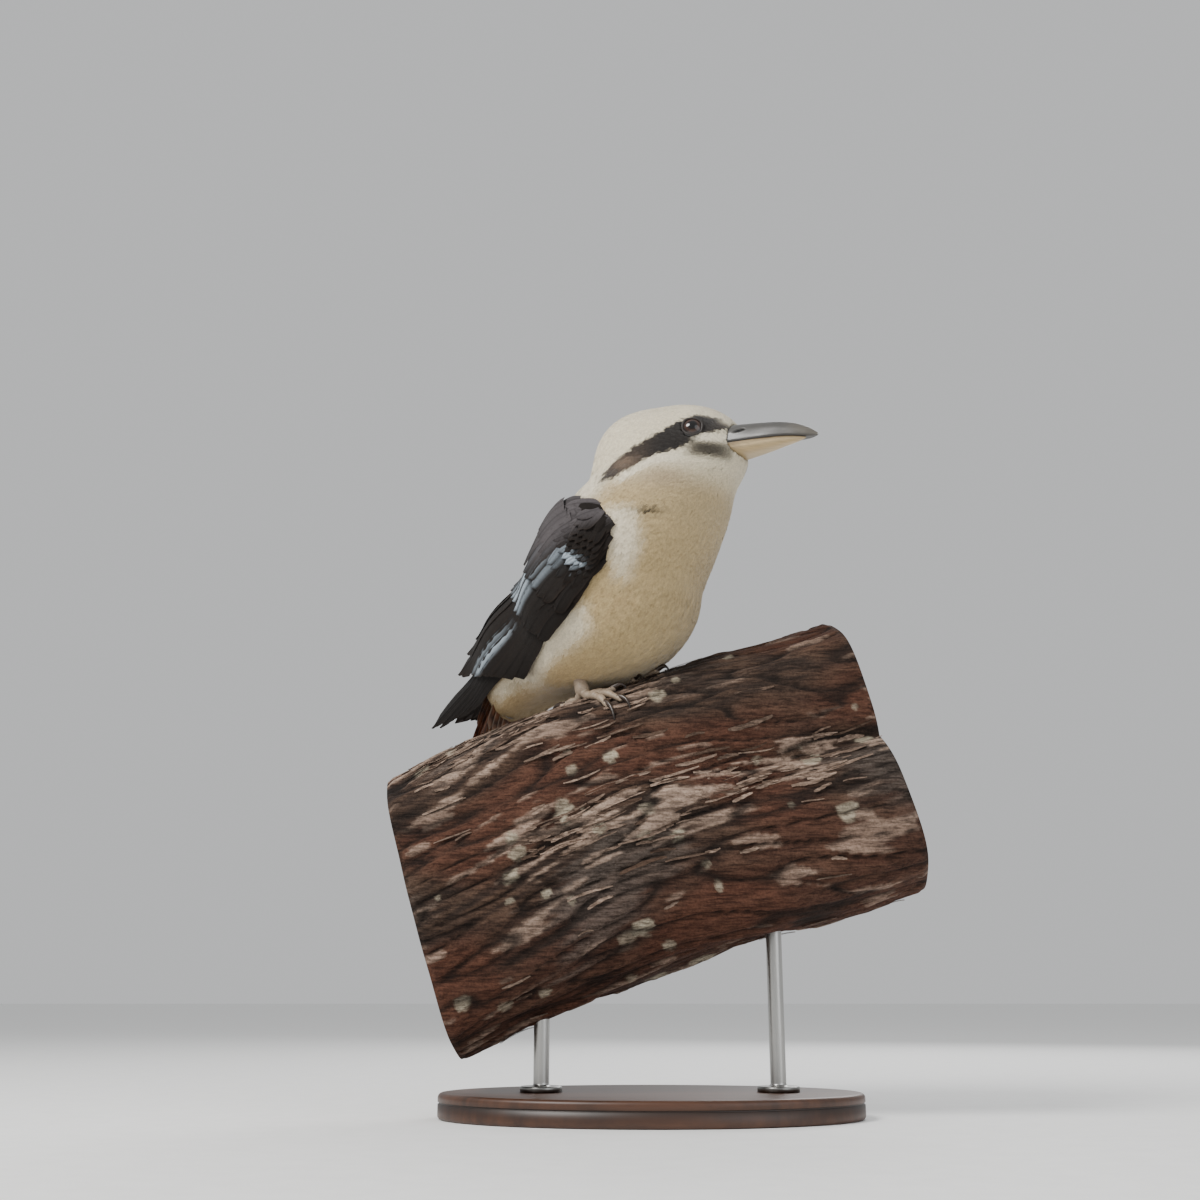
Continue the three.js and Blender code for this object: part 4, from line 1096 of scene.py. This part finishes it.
# Perch: a limb that forks into two lobes, with stringy, flaking bark and sawn ends
perch = {
    "length": 284, "slope": 16.5, "centre": (0, 12, 166), "halfHeight": 84, "halfFront": 64, "halfBack": 36,
    # centre and radius of each lobe, and where along the limb they part
    "fullness": 2.5, "lobes": [((-6, 38), 47), ((-14, -36), 50)], "fork": (0, 120),
    "sagFrom": 30, "sag": 0.0005, "ridge": 1.2, "along": 330, "around": 300, "girth": 55, "spots": 90,
    "endRounds": 60,
}
perchTones = palette(
    deep=(32, 26, 23), dark=(58, 47, 41), bark=(92, 73, 61), red=(98, 63, 49),
    grey=(106, 98, 92), fibre=(182, 160, 144), lichen=(190, 182, 162),
    wood=(182, 154, 120), ring=(122, 94, 68),
)
perchTurn = turnY(-perch["slope"] * degree)


def perchRadius(along, angle):
    across, up = np.sin(angle), np.cos(angle)
    halfWidth = np.where(across > 0, perch["halfBack"], perch["halfFront"])
    power = perch["fullness"]
    oval = (np.abs(up / perch["halfHeight"]) ** power + np.abs(across / halfWidth) ** power) ** (-1 / power)
    farthest = np.zeros(np.broadcast(along, angle).shape)
    for (a, b), radius in perch["lobes"]:
        reach = a * across + b * up
        inside = radius**2 - a**2 - b**2 + reach**2
        farthest = np.maximum(farthest, np.where(inside > 0, reach + np.sqrt(np.maximum(inside, 0)), 0))
    ridges = (np.sin(7 * angle + 1.3 * np.sin(along / 41)) + 0.7 * np.sin(11 * angle - along / 37)
              + 0.8 * np.sin(along / 19 + 3 * angle))
    return mix(oval, farthest, ease(*perch["fork"], along)) + perch["ridge"] * ridges


def perchSag(along):
    return perch["sag"] * np.minimum(along - perch["sagFrom"], 0) ** 2


def perchPlace(along, angle, radius):
    return np.stack([along, radius * np.sin(angle), radius * np.cos(angle) - perchSag(along)], -1)


def perchToWorld(local):
    return (local @ perchTurn.T + np.array(perch["centre"])) * millimetre


def perchTop(x, y):
    # height of the plain perch over places in the row frame, in millimetres
    low = np.full(np.shape(x), perch["centre"][2] - 20.0)
    high = low + 20 + 2 * perch["halfHeight"]
    for _ in range(26):
        middle = (low + high) / 2
        local = (np.stack([x, y, middle], -1) - np.array(perch["centre"])) @ perchTurn
        up = local[..., 2] + perchSag(local[..., 0])
        out = np.hypot(local[..., 1], up) - perchRadius(local[..., 0], np.arctan2(local[..., 1], up))
        low, high = np.where(out > 0, low, middle), np.where(out > 0, middle, high)
    return low


def grain(along, angle, length, width, seed):
    # noise drawn out along the limb: length and width of its patches in millimetres
    turn = angle + 0.1 * np.sin(along / 47 + 2 * np.sin(angle))
    spots = [along / length, np.sin(turn) * perch["girth"] / width, np.cos(turn) * perch["girth"] / width]
    return wobble(np.stack(spots, -1).reshape(-1, 3), 1.0, seed).reshape(np.shape(along))


def fibrous(along, angle):
    # where pale fibres show: on the crest to the left, and along the groove between the lobes
    crest = blob(angle, -0.25, 0.62) * (1 - ease(-40, 40, along))
    groove = blob(angle, -1.5, 0.26) * ease(-110, -60, along)
    return np.maximum(crest, groove)


def perchSurface():
    rows, around, t = perch["along"], perch["around"], perchTones
    along = np.linspace(-0.5, 0.5, rows)[:, None] * perch["length"] * np.ones((1, around))
    angle = np.linspace(-math.pi, math.pi, around, endpoint=False)[None] * np.ones((rows, 1))
    ridges, strands = grain(along, angle, 60, 7.5, 3), grain(along, angle, 30, 2.7, 11)
    plates, patches = grain(along, angle, 60, 17, 21), grain(along, angle, 34, 7, 31)
    cloud = grain(along, angle, 90, 40, 47)
    cracks = ease(0.7, 1, 1 - np.abs(ridges) * 1.9)
    step = ease(-0.03, 0.06, plates)
    relief = np.minimum(np.abs(ridges) * 2.4, 1) - 1.1 * cracks + 0.5 * strands + 0.9 * step - 0.8
    zone = fibrous(along, angle)
    fine = grain(along, angle, 16, 1.9, 83)
    pale = ease(0.04, 0.14, patches + 0.5 * strands + 0.25 * fine + 0.42 * zone - 0.33)
    relief = relief + 0.55 * pale + 0.3 * fine
    stain = np.clip(0.45 + 1.3 * strands + 0.9 * fine + 0.5 * cloud, 0, 1)
    tones = mix(t["dark"], t["bark"], stain[..., None])
    under = ease(1.7, 2.5, np.abs(angle))
    tones = mix(tones, t["red"], np.clip(0.5 * under + ease(0.05, 0.4, cloud) * 0.7, 0, 0.8)[..., None])
    tones = mix(tones, t["grey"], (ease(0.1, 0.4, -cloud + 0.4 * strands) * 0.55)[..., None])
    tones = mix(tones, t["fibre"], (pale * (0.55 + 0.4 * zone) * (0.8 + 0.5 * strands))[..., None])
    draw = np.random.default_rng(61)
    for _ in range(perch["spots"]):
        a, q, size = draw.uniform(-135, 135), draw.uniform(-math.pi, math.pi), draw.uniform(1.2, 4.2)
        aside = np.abs((angle - q + math.pi) % (2 * math.pi) - math.pi) * perch["girth"]
        near = np.hypot((along - a) / 1.5, aside) / size + 0.5 * strands + 0.4 * fine
        spot = 1 - ease(0.75, 1.05, near)
        tones = mix(tones, t["lichen"], (spot * draw.uniform(0.4, 0.85))[..., None])
        relief = relief + 0.25 * spot
    tones = mix(tones, t["deep"], (cracks * 0.85)[..., None])
    edge = np.minimum(along + perch["length"] / 2, perch["length"] / 2 - along)
    relief = relief * ease(0, 5, edge) - 1.2 * (1 - ease(0, 3.5, edge))
    radius = perchRadius(along, angle) + relief
    return perchPlace(along, angle, radius), tones


def perchEnd(side, ring):
    # a sawn end: rings of growth round the pith of each lobe, a little below the bark's rim
    rounds, around = perch["endRounds"], len(ring)
    along = side * perch["length"] / 2
    middle = np.array([along, 0, -float(perchSag(np.array(along)))])
    shares = np.linspace(1, 0, rounds + 1)[1:-1, None, None]
    points = middle + (ring - middle) * shares
    flat = points.reshape(-1, 3)
    bump = wobble(flat * (0, 1, 0.15), 3, 6).reshape(rounds - 1, around)
    points[..., 0] -= side * (0.5 + 0.25 * (bump + 1)) * ease(0, 0.06, 1 - shares[..., 0])
    if side > 0:
        gap = np.minimum(*[np.hypot(points[..., 1] - a, points[..., 2] - b) for (a, b), _ in perch["lobes"]])
    else:
        gap = np.hypot(points[..., 1] * 1.5, points[..., 2])
    gap = gap + 1.6 * bump
    rings = 0.5 + 0.5 * np.sin(gap * 1.5 + 0.8 * np.sin(gap * 0.37))
    tones = mix(perchTones["wood"], perchTones["ring"], (rings * 0.8)[..., None])
    tones = tones * (0.95 + 0.15 * bump[..., None])
    tones = mix(tones, perchTones["deep"], (ease(0.93, 1, shares[..., 0]) * 0.8)[..., None])
    pith = np.concatenate([points.reshape(-1, 3), middle[None] - (side * 0.9, 0, 0)])
    return pith, np.concatenate([tones.reshape(-1, 3), perchTones["ring"][None]])


def barkMaterial():
    strands = {"scale": 1.0, "detail": 8, "roughness": 0.72, "stretch": (70, 620, 620),
               "turn": (0, perch["slope"] * degree, 0)}
    pits = {"scale": 700, "detail": 5, "roughness": 0.6}
    grains = [(strands, [(0.4, (0.4, 0.37, 0.35)), (0.57, (1.14, 1.11, 1.08))]),
              (pits, [(0.35, (0.72, 0.7, 0.68)), (0.6, (1.04, 1.04, 1.04))])]
    return tonedMaterial("bark", {"Roughness": 0.9, "Specular IOR Level": 0.2}, grains, (1.0, 0.0016))


barkLocal, barkTones = perchSurface()
rows, around = barkLocal.shape[:2]
points, tones = [barkLocal.reshape(-1, 3)], [barkTones.reshape(-1, 3)]
faces = [gridFaces(rows, around, True)[:, ::-1]]
count = rows * around
for side in (-1, 1):
    rim = (rows - 1) * around if side > 0 else 0
    endPoints, endTones = perchEnd(side, barkLocal[-1 if side > 0 else 0])
    ringIndex = np.concatenate([rim + np.arange(around), count + np.arange(len(endPoints) - 1)])
    quads = ringIndex[gridFaces(len(ringIndex) // around, around, True)]
    last = ringIndex[-around:]
    fan = np.stack([last, np.roll(last, -1), np.full(around, count + len(endPoints) - 1)], 1)
    faces += [quads[:, ::-1], fan[:, ::-1]] if side > 0 else [quads, fan]
    points.append(endPoints)
    tones.append(endTones)
    count += len(endPoints)
bark = barkMaterial()
makePiece("bark", points, faces, bark, ("perch_branch",), tones, toWorld=perchToWorld)
print("perch:", sum(len(f) for f in faces), "faces")

# Loose flakes of bark, lifting from the limb along its grain where it is fibrous
flakes = {"count": 340, "length": (8, 28), "width": (0.7, 2.2), "curl": 1.3, "thickness": 0.35, "grid": (9, 5),
          "tries": 9000}
draw = np.random.default_rng(77)
tries, (rows, columns) = flakes["tries"], flakes["grid"]
spots = [draw.uniform(-0.48, 0.42, tries) * perch["length"], draw.uniform(-math.pi, math.pi, tries)]
spots = np.stack(spots, 1)
spots = spots[draw.random(tries) < 0.05 + fibrous(spots[:, 0], spots[:, 1])][:flakes["count"]]
points, faces, tones = [], [], []
grid, sheetPoints = gridFaces(rows, columns), rows * columns
u, v = np.linspace(0, 1, rows)[:, None], np.linspace(-1, 1, columns)[None]
for k, (along0, angle0) in enumerate(spots.tolist()):
    length, width = draw.uniform(*flakes["length"]), draw.uniform(*flakes["width"])
    wide = width / 2 * np.sin(math.pi * np.clip(u * 0.86 + 0.1, 0, 1)) ** 0.5 * (1 + 0.2 * np.sin(u * 17 + k))
    radius0 = float(perchRadius(np.array(along0), np.array(angle0)))
    along = along0 + length * u + 0 * v
    angle = angle0 + (wide * v + 0.8 * np.sin(u * 3 + k)) / radius0
    lift = 0.5 + flakes["curl"] * draw.uniform(0.1, 1) * (np.abs(u - 0.45) * 1.8) ** 3 + 0.2 * np.abs(v)
    for sheet in (0.0, -flakes["thickness"]):
        radius = perchRadius(along, angle) + lift + sheet
        points.append(perchPlace(along, angle, radius).reshape(-1, 3))
    first = 2 * sheetPoints * k
    faces += [grid[:, ::-1] + first, grid + first + sheetPoints]
    shade = mix(perchTones["fibre"], perchTones["bark"], draw.random()) * draw.uniform(0.75, 1.0)
    tones.append(np.tile(shade, (2 * sheetPoints, 1)) * (0.85 + 0.3 * draw.random((2 * sheetPoints, 1))))
makePiece("bark_flakes", points, faces, bark, (), tones, toWorld=perchToWorld)
print("bark flakes:", len(spots))


# Legs: scaled toes with pads, and separate claws
legs = {
    "stance": 17, "forward": 2, "ankle": 7, "lean": (-10, 3, 36), "shank": 3.5, "toe": 3.15,
    # turn, length and joints of each toe
    "toes": [(-20, 21, 2), (2, 31, 3), (16, 27, 4), (176, 16, 2)], "claw": 9.5, "clawRadius": 1.7,
    # how many rings along, and points round each
    "toeGrid": (74, 28), "clawGrid": (26, 18), "shankGrid": (60, 30),
}
legTones = palette(
    skin=(158, 140, 120), seam=(92, 76, 64), claw=(66, 52, 42),
    clawTip=(34, 27, 23),
)


def overPerch(x, y, rise):
    world = np.stack([x, y, np.zeros_like(x)], -1) @ birdTurn.T + np.array(birdPlace["at"])
    top = perchTop(world[..., 0], world[..., 1])
    return np.stack([x, y, top - birdPlace["at"][2] + rise], -1)


def tubeAlong(line, radii, around, flatten=1.0):
    # rings round a line, each with its own radius; the top of each ring faces up
    runs = unit(np.gradient(line, axis=0))
    helper = np.where(np.abs(runs[:, 2:]) > 0.9, [[1.0, 0, 0]], [[0, 0, 1.0]])
    right = unit(np.cross(runs, helper))
    up = np.cross(right, runs)
    turn = fullTurn(around)
    out = right[:, None] * np.cos(turn)[None, :, None] + up[:, None] * np.sin(turn)[None, :, None] * flatten
    radii = np.reshape(radii, (len(line), -1))
    return line[:, None] + out * radii[..., None]


def scaled(share, length, turn, seam=1.9):
    # plates across the top, small scales round the sides
    place = share * length / seam
    plate = np.abs((place % 1) - 0.5) * 2
    top = ease(-0.2, 0.4, np.sin(turn))[None]
    groove = ease(0.8, 1.0, plate)[:, None] * top
    small = 0.5 + 0.5 * np.sin(place * 2 * math.pi * 1.6)[:, None] * np.sin(turn * 11)[None]
    return groove, small * (1 - top)


def scaledTube(line, radius, share, length, turn, seam, cuts, flatten, seamShade):
    # a tube with plates and scales cut into it, and its tones, darker in the seams
    groove, small = scaled(share, length, turn, seam)
    ring = tubeAlong(line, radius[:, None] - cuts[0] * groove - cuts[1] * small, len(turn), flatten)
    seams = np.clip(groove * seamShade + small * 0.25, 0, 1)[..., None]
    return ring, mix(legTones["skin"], legTones["seam"], seams)


def joinTubes(name, tubes, material, replaced):
    # tubes closed at both ends, joined as one piece
    points, faces, shades, count = [], [], [], 0
    for ring, tones in tubes:
        r, c = ring.shape[:2]
        points += [ring.reshape(-1, 3), np.stack([ring[0].mean(0), ring[-1].mean(0)])]
        shades += [tones.reshape(-1, 3), tones[[0, -1], 0]]
        loop, last = np.arange(c), (r - 1) * c
        near = np.stack([loop, np.roll(loop, -1), np.full(c, r * c)], 1)[:, ::-1]
        far = np.stack([loop + last, np.roll(loop, -1) + last, np.full(c, r * c + 1)], 1)
        faces += [gridFaces(r, c, True) + count, near + count, far + count]
        count += r * c + 2
    makePiece(name, points, faces, material, replaced, shades)


scaleSkin = skinMaterial("scaly_skin", 0.5, 1500, 0.35)
clawHorn = skinMaterial("claw_horn", 0.3, 900, 0.1)
for side, label in ((-1, "right"), (1, "left")):
    parts, claws = [], []
    footX, footY = legs["forward"], side * legs["stance"]
    for turn, length, joints in legs["toes"]:
        heading = side * turn * degree
        toePlace = lambda reach: (footX + reach * math.cos(heading), footY + reach * math.sin(heading))
        rows, around = legs["toeGrid"]
        share = np.linspace(0, 1, rows)
        swell = 0.36 * np.cos(share * joints * 2 * math.pi) * (1 - 0.4 * share)
        radius = legs["toe"] * (1 - 0.36 * share) + swell
        radius = radius * np.sqrt(np.clip(1 - ease(0.93, 1.0, share) * 0.75, 0, 1))
        rise = mix(legs["ankle"] - 1.5, radius * 0.78, ease(0, 0.24, share))
        line = smoothed(overPerch(*toePlace(share * length), rise), 6)
        parts.append(scaledTube(line, radius, share, length, fullTurn(around), 1.9, (0.34, 0.16), 0.92, 0.8))
        # the claw
        rows, around = legs["clawGrid"]
        share = np.linspace(0, 1, rows)
        reach = length - 2.4 + legs["claw"] * np.sin(share * 1.35)
        rise = mix(2.4, 0.3, share) + 2.3 * np.sin(math.pi * share)
        radius = legs["clawRadius"] * (1 - 0.9 * share**1.2)
        ring = tubeAlong(overPerch(*toePlace(reach), rise), radius, around, 1.15)
        tones = mix(legTones["claw"], legTones["clawTip"], share[:, None, None] * np.ones((1, around, 1)))
        claws.append((ring, tones))
    # the shank, from the ankle up into the belly
    ankle = overPerch(np.array([float(footX)]), np.array([float(footY)]), legs["ankle"])[0]
    leanX, leanY, top = legs["lean"]
    knee = np.array([footX + leanX, side * (legs["stance"] + leanY), top])
    rows, around = legs["shankGrid"]
    share = np.linspace(-0.08, 1, rows)
    line = ankle + (knee - ankle) * share[:, None]
    radius = legs["shank"] + 0.9 * (1 - ease(0, 0.25, share)) * ease(-0.08, 0.0, share) + 0.5 * share
    parts.append(scaledTube(line, radius, share, 32, -fullTurn(around), 3.2, (0.3, 0.15), 1.0, 0.7))
    joinTubes("leg_" + label + "_scales", parts, scaleSkin, ("leg_" + label,))
    joinTubes("claws_" + label, claws, clawHorn, ())
print("legs and claws")


# Stand: a turned oval base in stained wood with a fine profile, and two steel rods with flanges
stand = {"length": 240, "width": 150, "thickness": 14, "around": 160, "bevel": 2.2, "crown": 2.5,
         "underside": 60, "top": 72, "rods": ("left", "right"), "rod": 4.5, "flange": 12, "rodAround": 64}
standTones = palette(
    wood=(74, 46, 30), dark=(40, 25, 17), steel=(176, 176, 174),
    worn=(132, 132, 130),
)


def turnedPiece(name, profile, around, half, centre, shades, material, replaced):
    # a profile of (radius, height) turned round an upright axis; half widens it to an oval
    turn = fullTurn(around)
    rings = np.array([np.stack([centre[0] + (half[0] + inset) * np.cos(turn),
                                centre[1] + (half[1] + inset) * np.sin(turn),
                                np.full(around, height)], -1) for inset, height in profile])
    plain, darker, where = shades
    tones = np.tile(standTones[plain], rings.shape[:2] + (1,))
    tones[where] = standTones[darker]
    loop = np.arange(around)[None]
    faces = [gridFaces(len(rings), around, True), loop[:, ::-1], loop + (len(rings) - 1) * around]
    makePiece(name, rings.reshape(-1, 3), faces, material, replaced, tones.reshape(-1, 3),
              toWorld=lambda places: places * millimetre)


def standMaterial(name, roughness, metal, stretch, grain, bump):
    lines = {"scale": 1.0, "detail": 6, "roughness": 0.6, "stretch": stretch}
    stops = [(0.3, (grain, grain, grain)), (0.66, (1.1, 1.08, 1.06))]
    return tonedMaterial(name, {"Roughness": roughness, "Metallic": metal}, [(lines, stops)], (bump, 0.0002))


bevel, crown, height = stand["bevel"], stand["crown"], stand["thickness"]
quarter = lambda count: np.linspace(0, math.pi / 2, count)
profile = [(-bevel - stand["underside"], 0)]
profile += [(bevel * math.sin(a) - bevel, bevel - bevel * math.cos(a)) for a in quarter(6)]
profile += [(0, 8.0), (-0.5, 8.3), (-0.7, 8.7), (-0.5, 9.1), (0, 9.4)]
profile += [(crown * math.cos(a) - crown, height - crown + crown * math.sin(a)) for a in quarter(8)]
profile += [(-crown - stand["top"] * share, height) for share in np.linspace(0.02, 1, 40)]
turnedPiece("stand_base_wood", profile, stand["around"], (stand["length"] / 2, stand["width"] / 2), (0, 0),
            ("wood", "dark", slice(7, 11)), standMaterial("stained_wood", 0.42, 0.0, (14, 260, 60), 0.45, 0.25),
            ("stand_base",))
steel = standMaterial("brushed_steel", 0.32, 1.0, (500, 500, 16), 0.8, 0.15)
flange, rod = stand["flange"], stand["rod"]
for label in stand["rods"]:
    lowCorner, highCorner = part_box("stand_rod_" + label)
    low, high = lowCorner.z / millimetre, highCorner.z / millimetre
    centre = ((lowCorner.x + highCorner.x) / 2 / millimetre, (lowCorner.y + highCorner.y) / 2 / millimetre)
    profile = [(flange, low), (flange, low + 2.3), (flange - 0.25, low + 2.7), (flange - 0.7, low + 2.95)]
    profile += [(mix(flange - 1, rod + 1.2, s), low + 3.0) for s in np.linspace(0, 1, 10)]
    profile += [(rod + 0.6, low + 3.2), (rod + 0.15, low + 3.7), (rod, low + 4.3)]
    profile += [(rod, z) for z in np.linspace(low + 5, high - 1, 60)]
    profile += [(rod - 0.5, high - 0.2), (0.6, high)]
    turnedPiece("stand_rod_" + label + "_steel", profile, stand["rodAround"], (0, 0), centre,
                ("steel", "worn", slice(0, 4)), steel, ("stand_rod_" + label,))
print("stand")


# Coat of the head, neck and body
coat = {
    "tries": 600000, "eyeGap": 0.8, "eyeClear": 6.3, "behindEye": 5.0, "tailShare": 0.25, "billTo": 24,
    # reaches from the bill where the face and the head end, the spine's share where the neck starts, and the
    # slope where the back does
    "face": 34, "head": 62, "neck": 0.66, "back": 0.1,
    # at each reach from the bill: the gap between feathers, and their length and width as multiples of it
    "reach": [12, 24, 40, 60, 80, 110], "gap": [0.72, 0.86, 1.08, 1.35, 1.7, 2.05],
    "long": [4.8, 5.4, 6.8, 8, 8.6, 8.6], "wide": [2.5, 2.5, 2.7, 3, 3.1, 3.1],
}
candidates = spotsOnSkin(coat["tries"], 11)


def coatReach(points):
    # distance from the bill's base, with the tail end of the body counted as far
    fromBill = np.linalg.norm(toHead(points) - billBase, axis=1)
    return np.where(alongSpine(points)[0] < coat["tailShare"], coat["reach"][-1], fromBill)


def clearOfBill(points):
    # off the skin that the bill covers
    h = toHead(points)
    rise = h[:, 2] - mouthLine(h[:, 0])
    upper, lower = smoothRows(bill["upper"], h[:, 0]), smoothRows(bill["lower"], h[:, 0])
    wide, tall = np.where(rise > 0, upper[0], lower[0]), np.where(rise > 0, upper[1], lower[1])
    return (h[:, 0] < coat["billTo"]) | (np.hypot(h[:, 1] / wide, rise / tall) > 0.93)


gaps = np.interp(coatReach(candidates), coat["reach"], coat["gap"])
fromEye = offEye(candidates)
gaps = np.minimum(gaps, np.interp(fromEye, [7, 16], [coat["eyeGap"], 5]))
behind = toHead(candidates)[:, 0] < eyes["at"][0] - 1  # these come out from under the eye's ring
free = (fromEye > np.where(behind, coat["behindEye"], coat["eyeClear"])) & clearOfBill(candidates)
candidates, gaps = candidates[free], gaps[free]
kept = thinOut(candidates, gaps, 3)
roots, gaps = candidates[kept], gaps[kept]
print("coat:", len(roots), "roots")

draw = np.random.default_rng(5)
reach = coatReach(roots)
lengths = gaps * np.interp(reach, coat["reach"], coat["long"]) * draw.uniform(0.85, 1.15, len(roots))
widths = gaps * np.interp(reach, coat["reach"], coat["wide"])
lifts = 0.15 + 0.045 * lengths * draw.uniform(0.75, 1.0, len(roots))
share, _, upward, _ = alongSpine(roots)
upness = (slopeOf(bodyDistance, roots) * upward).sum(1)
face, offHead = reach < coat["face"], reach >= coat["head"]
body = offHead & (share <= coat["neck"])
back, leftSide = upness > coat["back"], roots[:, 1] >= 0
regions = {
    # which roots, barbs on each side of a feather, and slot
    "coat_face": (face, 5, "plumage_cream"),
    "coat_head": (~face & ~offHead, 8, "plumage_cream"),
    "coat_neck": (offHead & (share > coat["neck"]), 9, "plumage_cream"),
    "coat_back": (body & back, 10, "plumage_dark"),
    "coat_breast": (body & ~back & ~leftSide, 10, "plumage_buff"),
    "coat_belly": (body & ~back & leftSide, 10, "plumage_buff"),
}
for k, (name, (own, barbs, slot)) in enumerate(regions.items()):
    own = np.nonzero(own)[0]
    plantFeathers(name, roots[own], lengths[own], widths[own], lifts[own], barbs, 100 + k)


# Floor, light and camera
studio = {
    "floor": 40.0, "world": (0.84, 0.85, 0.86, 1), "strength": 0.72,
    # place, target, size, power and colour of each lamp
    "key": ((-0.8, -0.75, 1.2), (0, 0, 0.28), 0.6, 24, (1.0, 0.985, 0.96)),
    "fill": ((1.2, -1.3, 0.7), (0, 0, 0.25), 1.4, 8, (0.94, 0.97, 1.0)),
    "rim": ((0.5, 1.1, 0.9), (0, 0, 0.3), 0.8, 9, (1.0, 1.0, 1.0)),
    # the camera's place and target in millimetres, and its lens
    "camera": ((-28.78, -835.40, 63.12), (-28.78, -14.48, 298.51), 42.0),
}


def aimed(name, data, place, target):
    made = addObject(name, data)
    made.location = place
    made.rotation_euler = (Vector(target) - Vector(place)).to_track_quat("-Z", "Y").to_euler()
    return made


def areaLight(name):
    place, target, size, power, colour = studio[name]
    light = bpy.data.lights.new(name, "AREA")
    light.shape, light.size, light.energy, light.color = "DISK", size, power, colour
    return aimed(name, light, place, target)


def floorMaterial():
    material = newMaterial("pale_floor", {"Roughness": 0.85})
    tree = material.node_tree
    stops = [(0.3, (0.86, 0.86, 0.85)), (0.7, (0.9, 0.9, 0.89))]
    feed(shaderOf(tree), {"Base Color": rampNode(tree, noiseNode(tree, 60), stops)})
    return material


floorMesh = bpy.data.meshes.new("floor")
edge = studio["floor"]
corners = [(-edge, -edge, 0), (edge, -edge, 0), (edge, edge, 0), (-edge, edge, 0)]
floorMesh.from_pydata(corners, [], [(0, 1, 2, 3)])
floorMesh.materials.append(floorMaterial())
floor = addObject("floor", floorMesh)
lamps = [areaLight(name) for name in ("key", "fill", "rim")]

world = bpy.data.worlds.new("studio")
bpy.context.scene.world = world
world.use_nodes = True
feed(world.node_tree.nodes["Background"], {"Color": studio["world"], "Strength": studio["strength"]})

cameraPlace, cameraTarget, lens = studio["camera"]
cameraData = bpy.data.cameras.new("camera")
cameraData.lens, cameraData.sensor_width = lens, 36
cameraData.clip_start, cameraData.clip_end = 0.01, 50
camera = aimed("camera", cameraData, cameraPlace, cameraTarget)
camera.location = [v * millimetre for v in cameraPlace]
bpy.context.scene.camera = camera
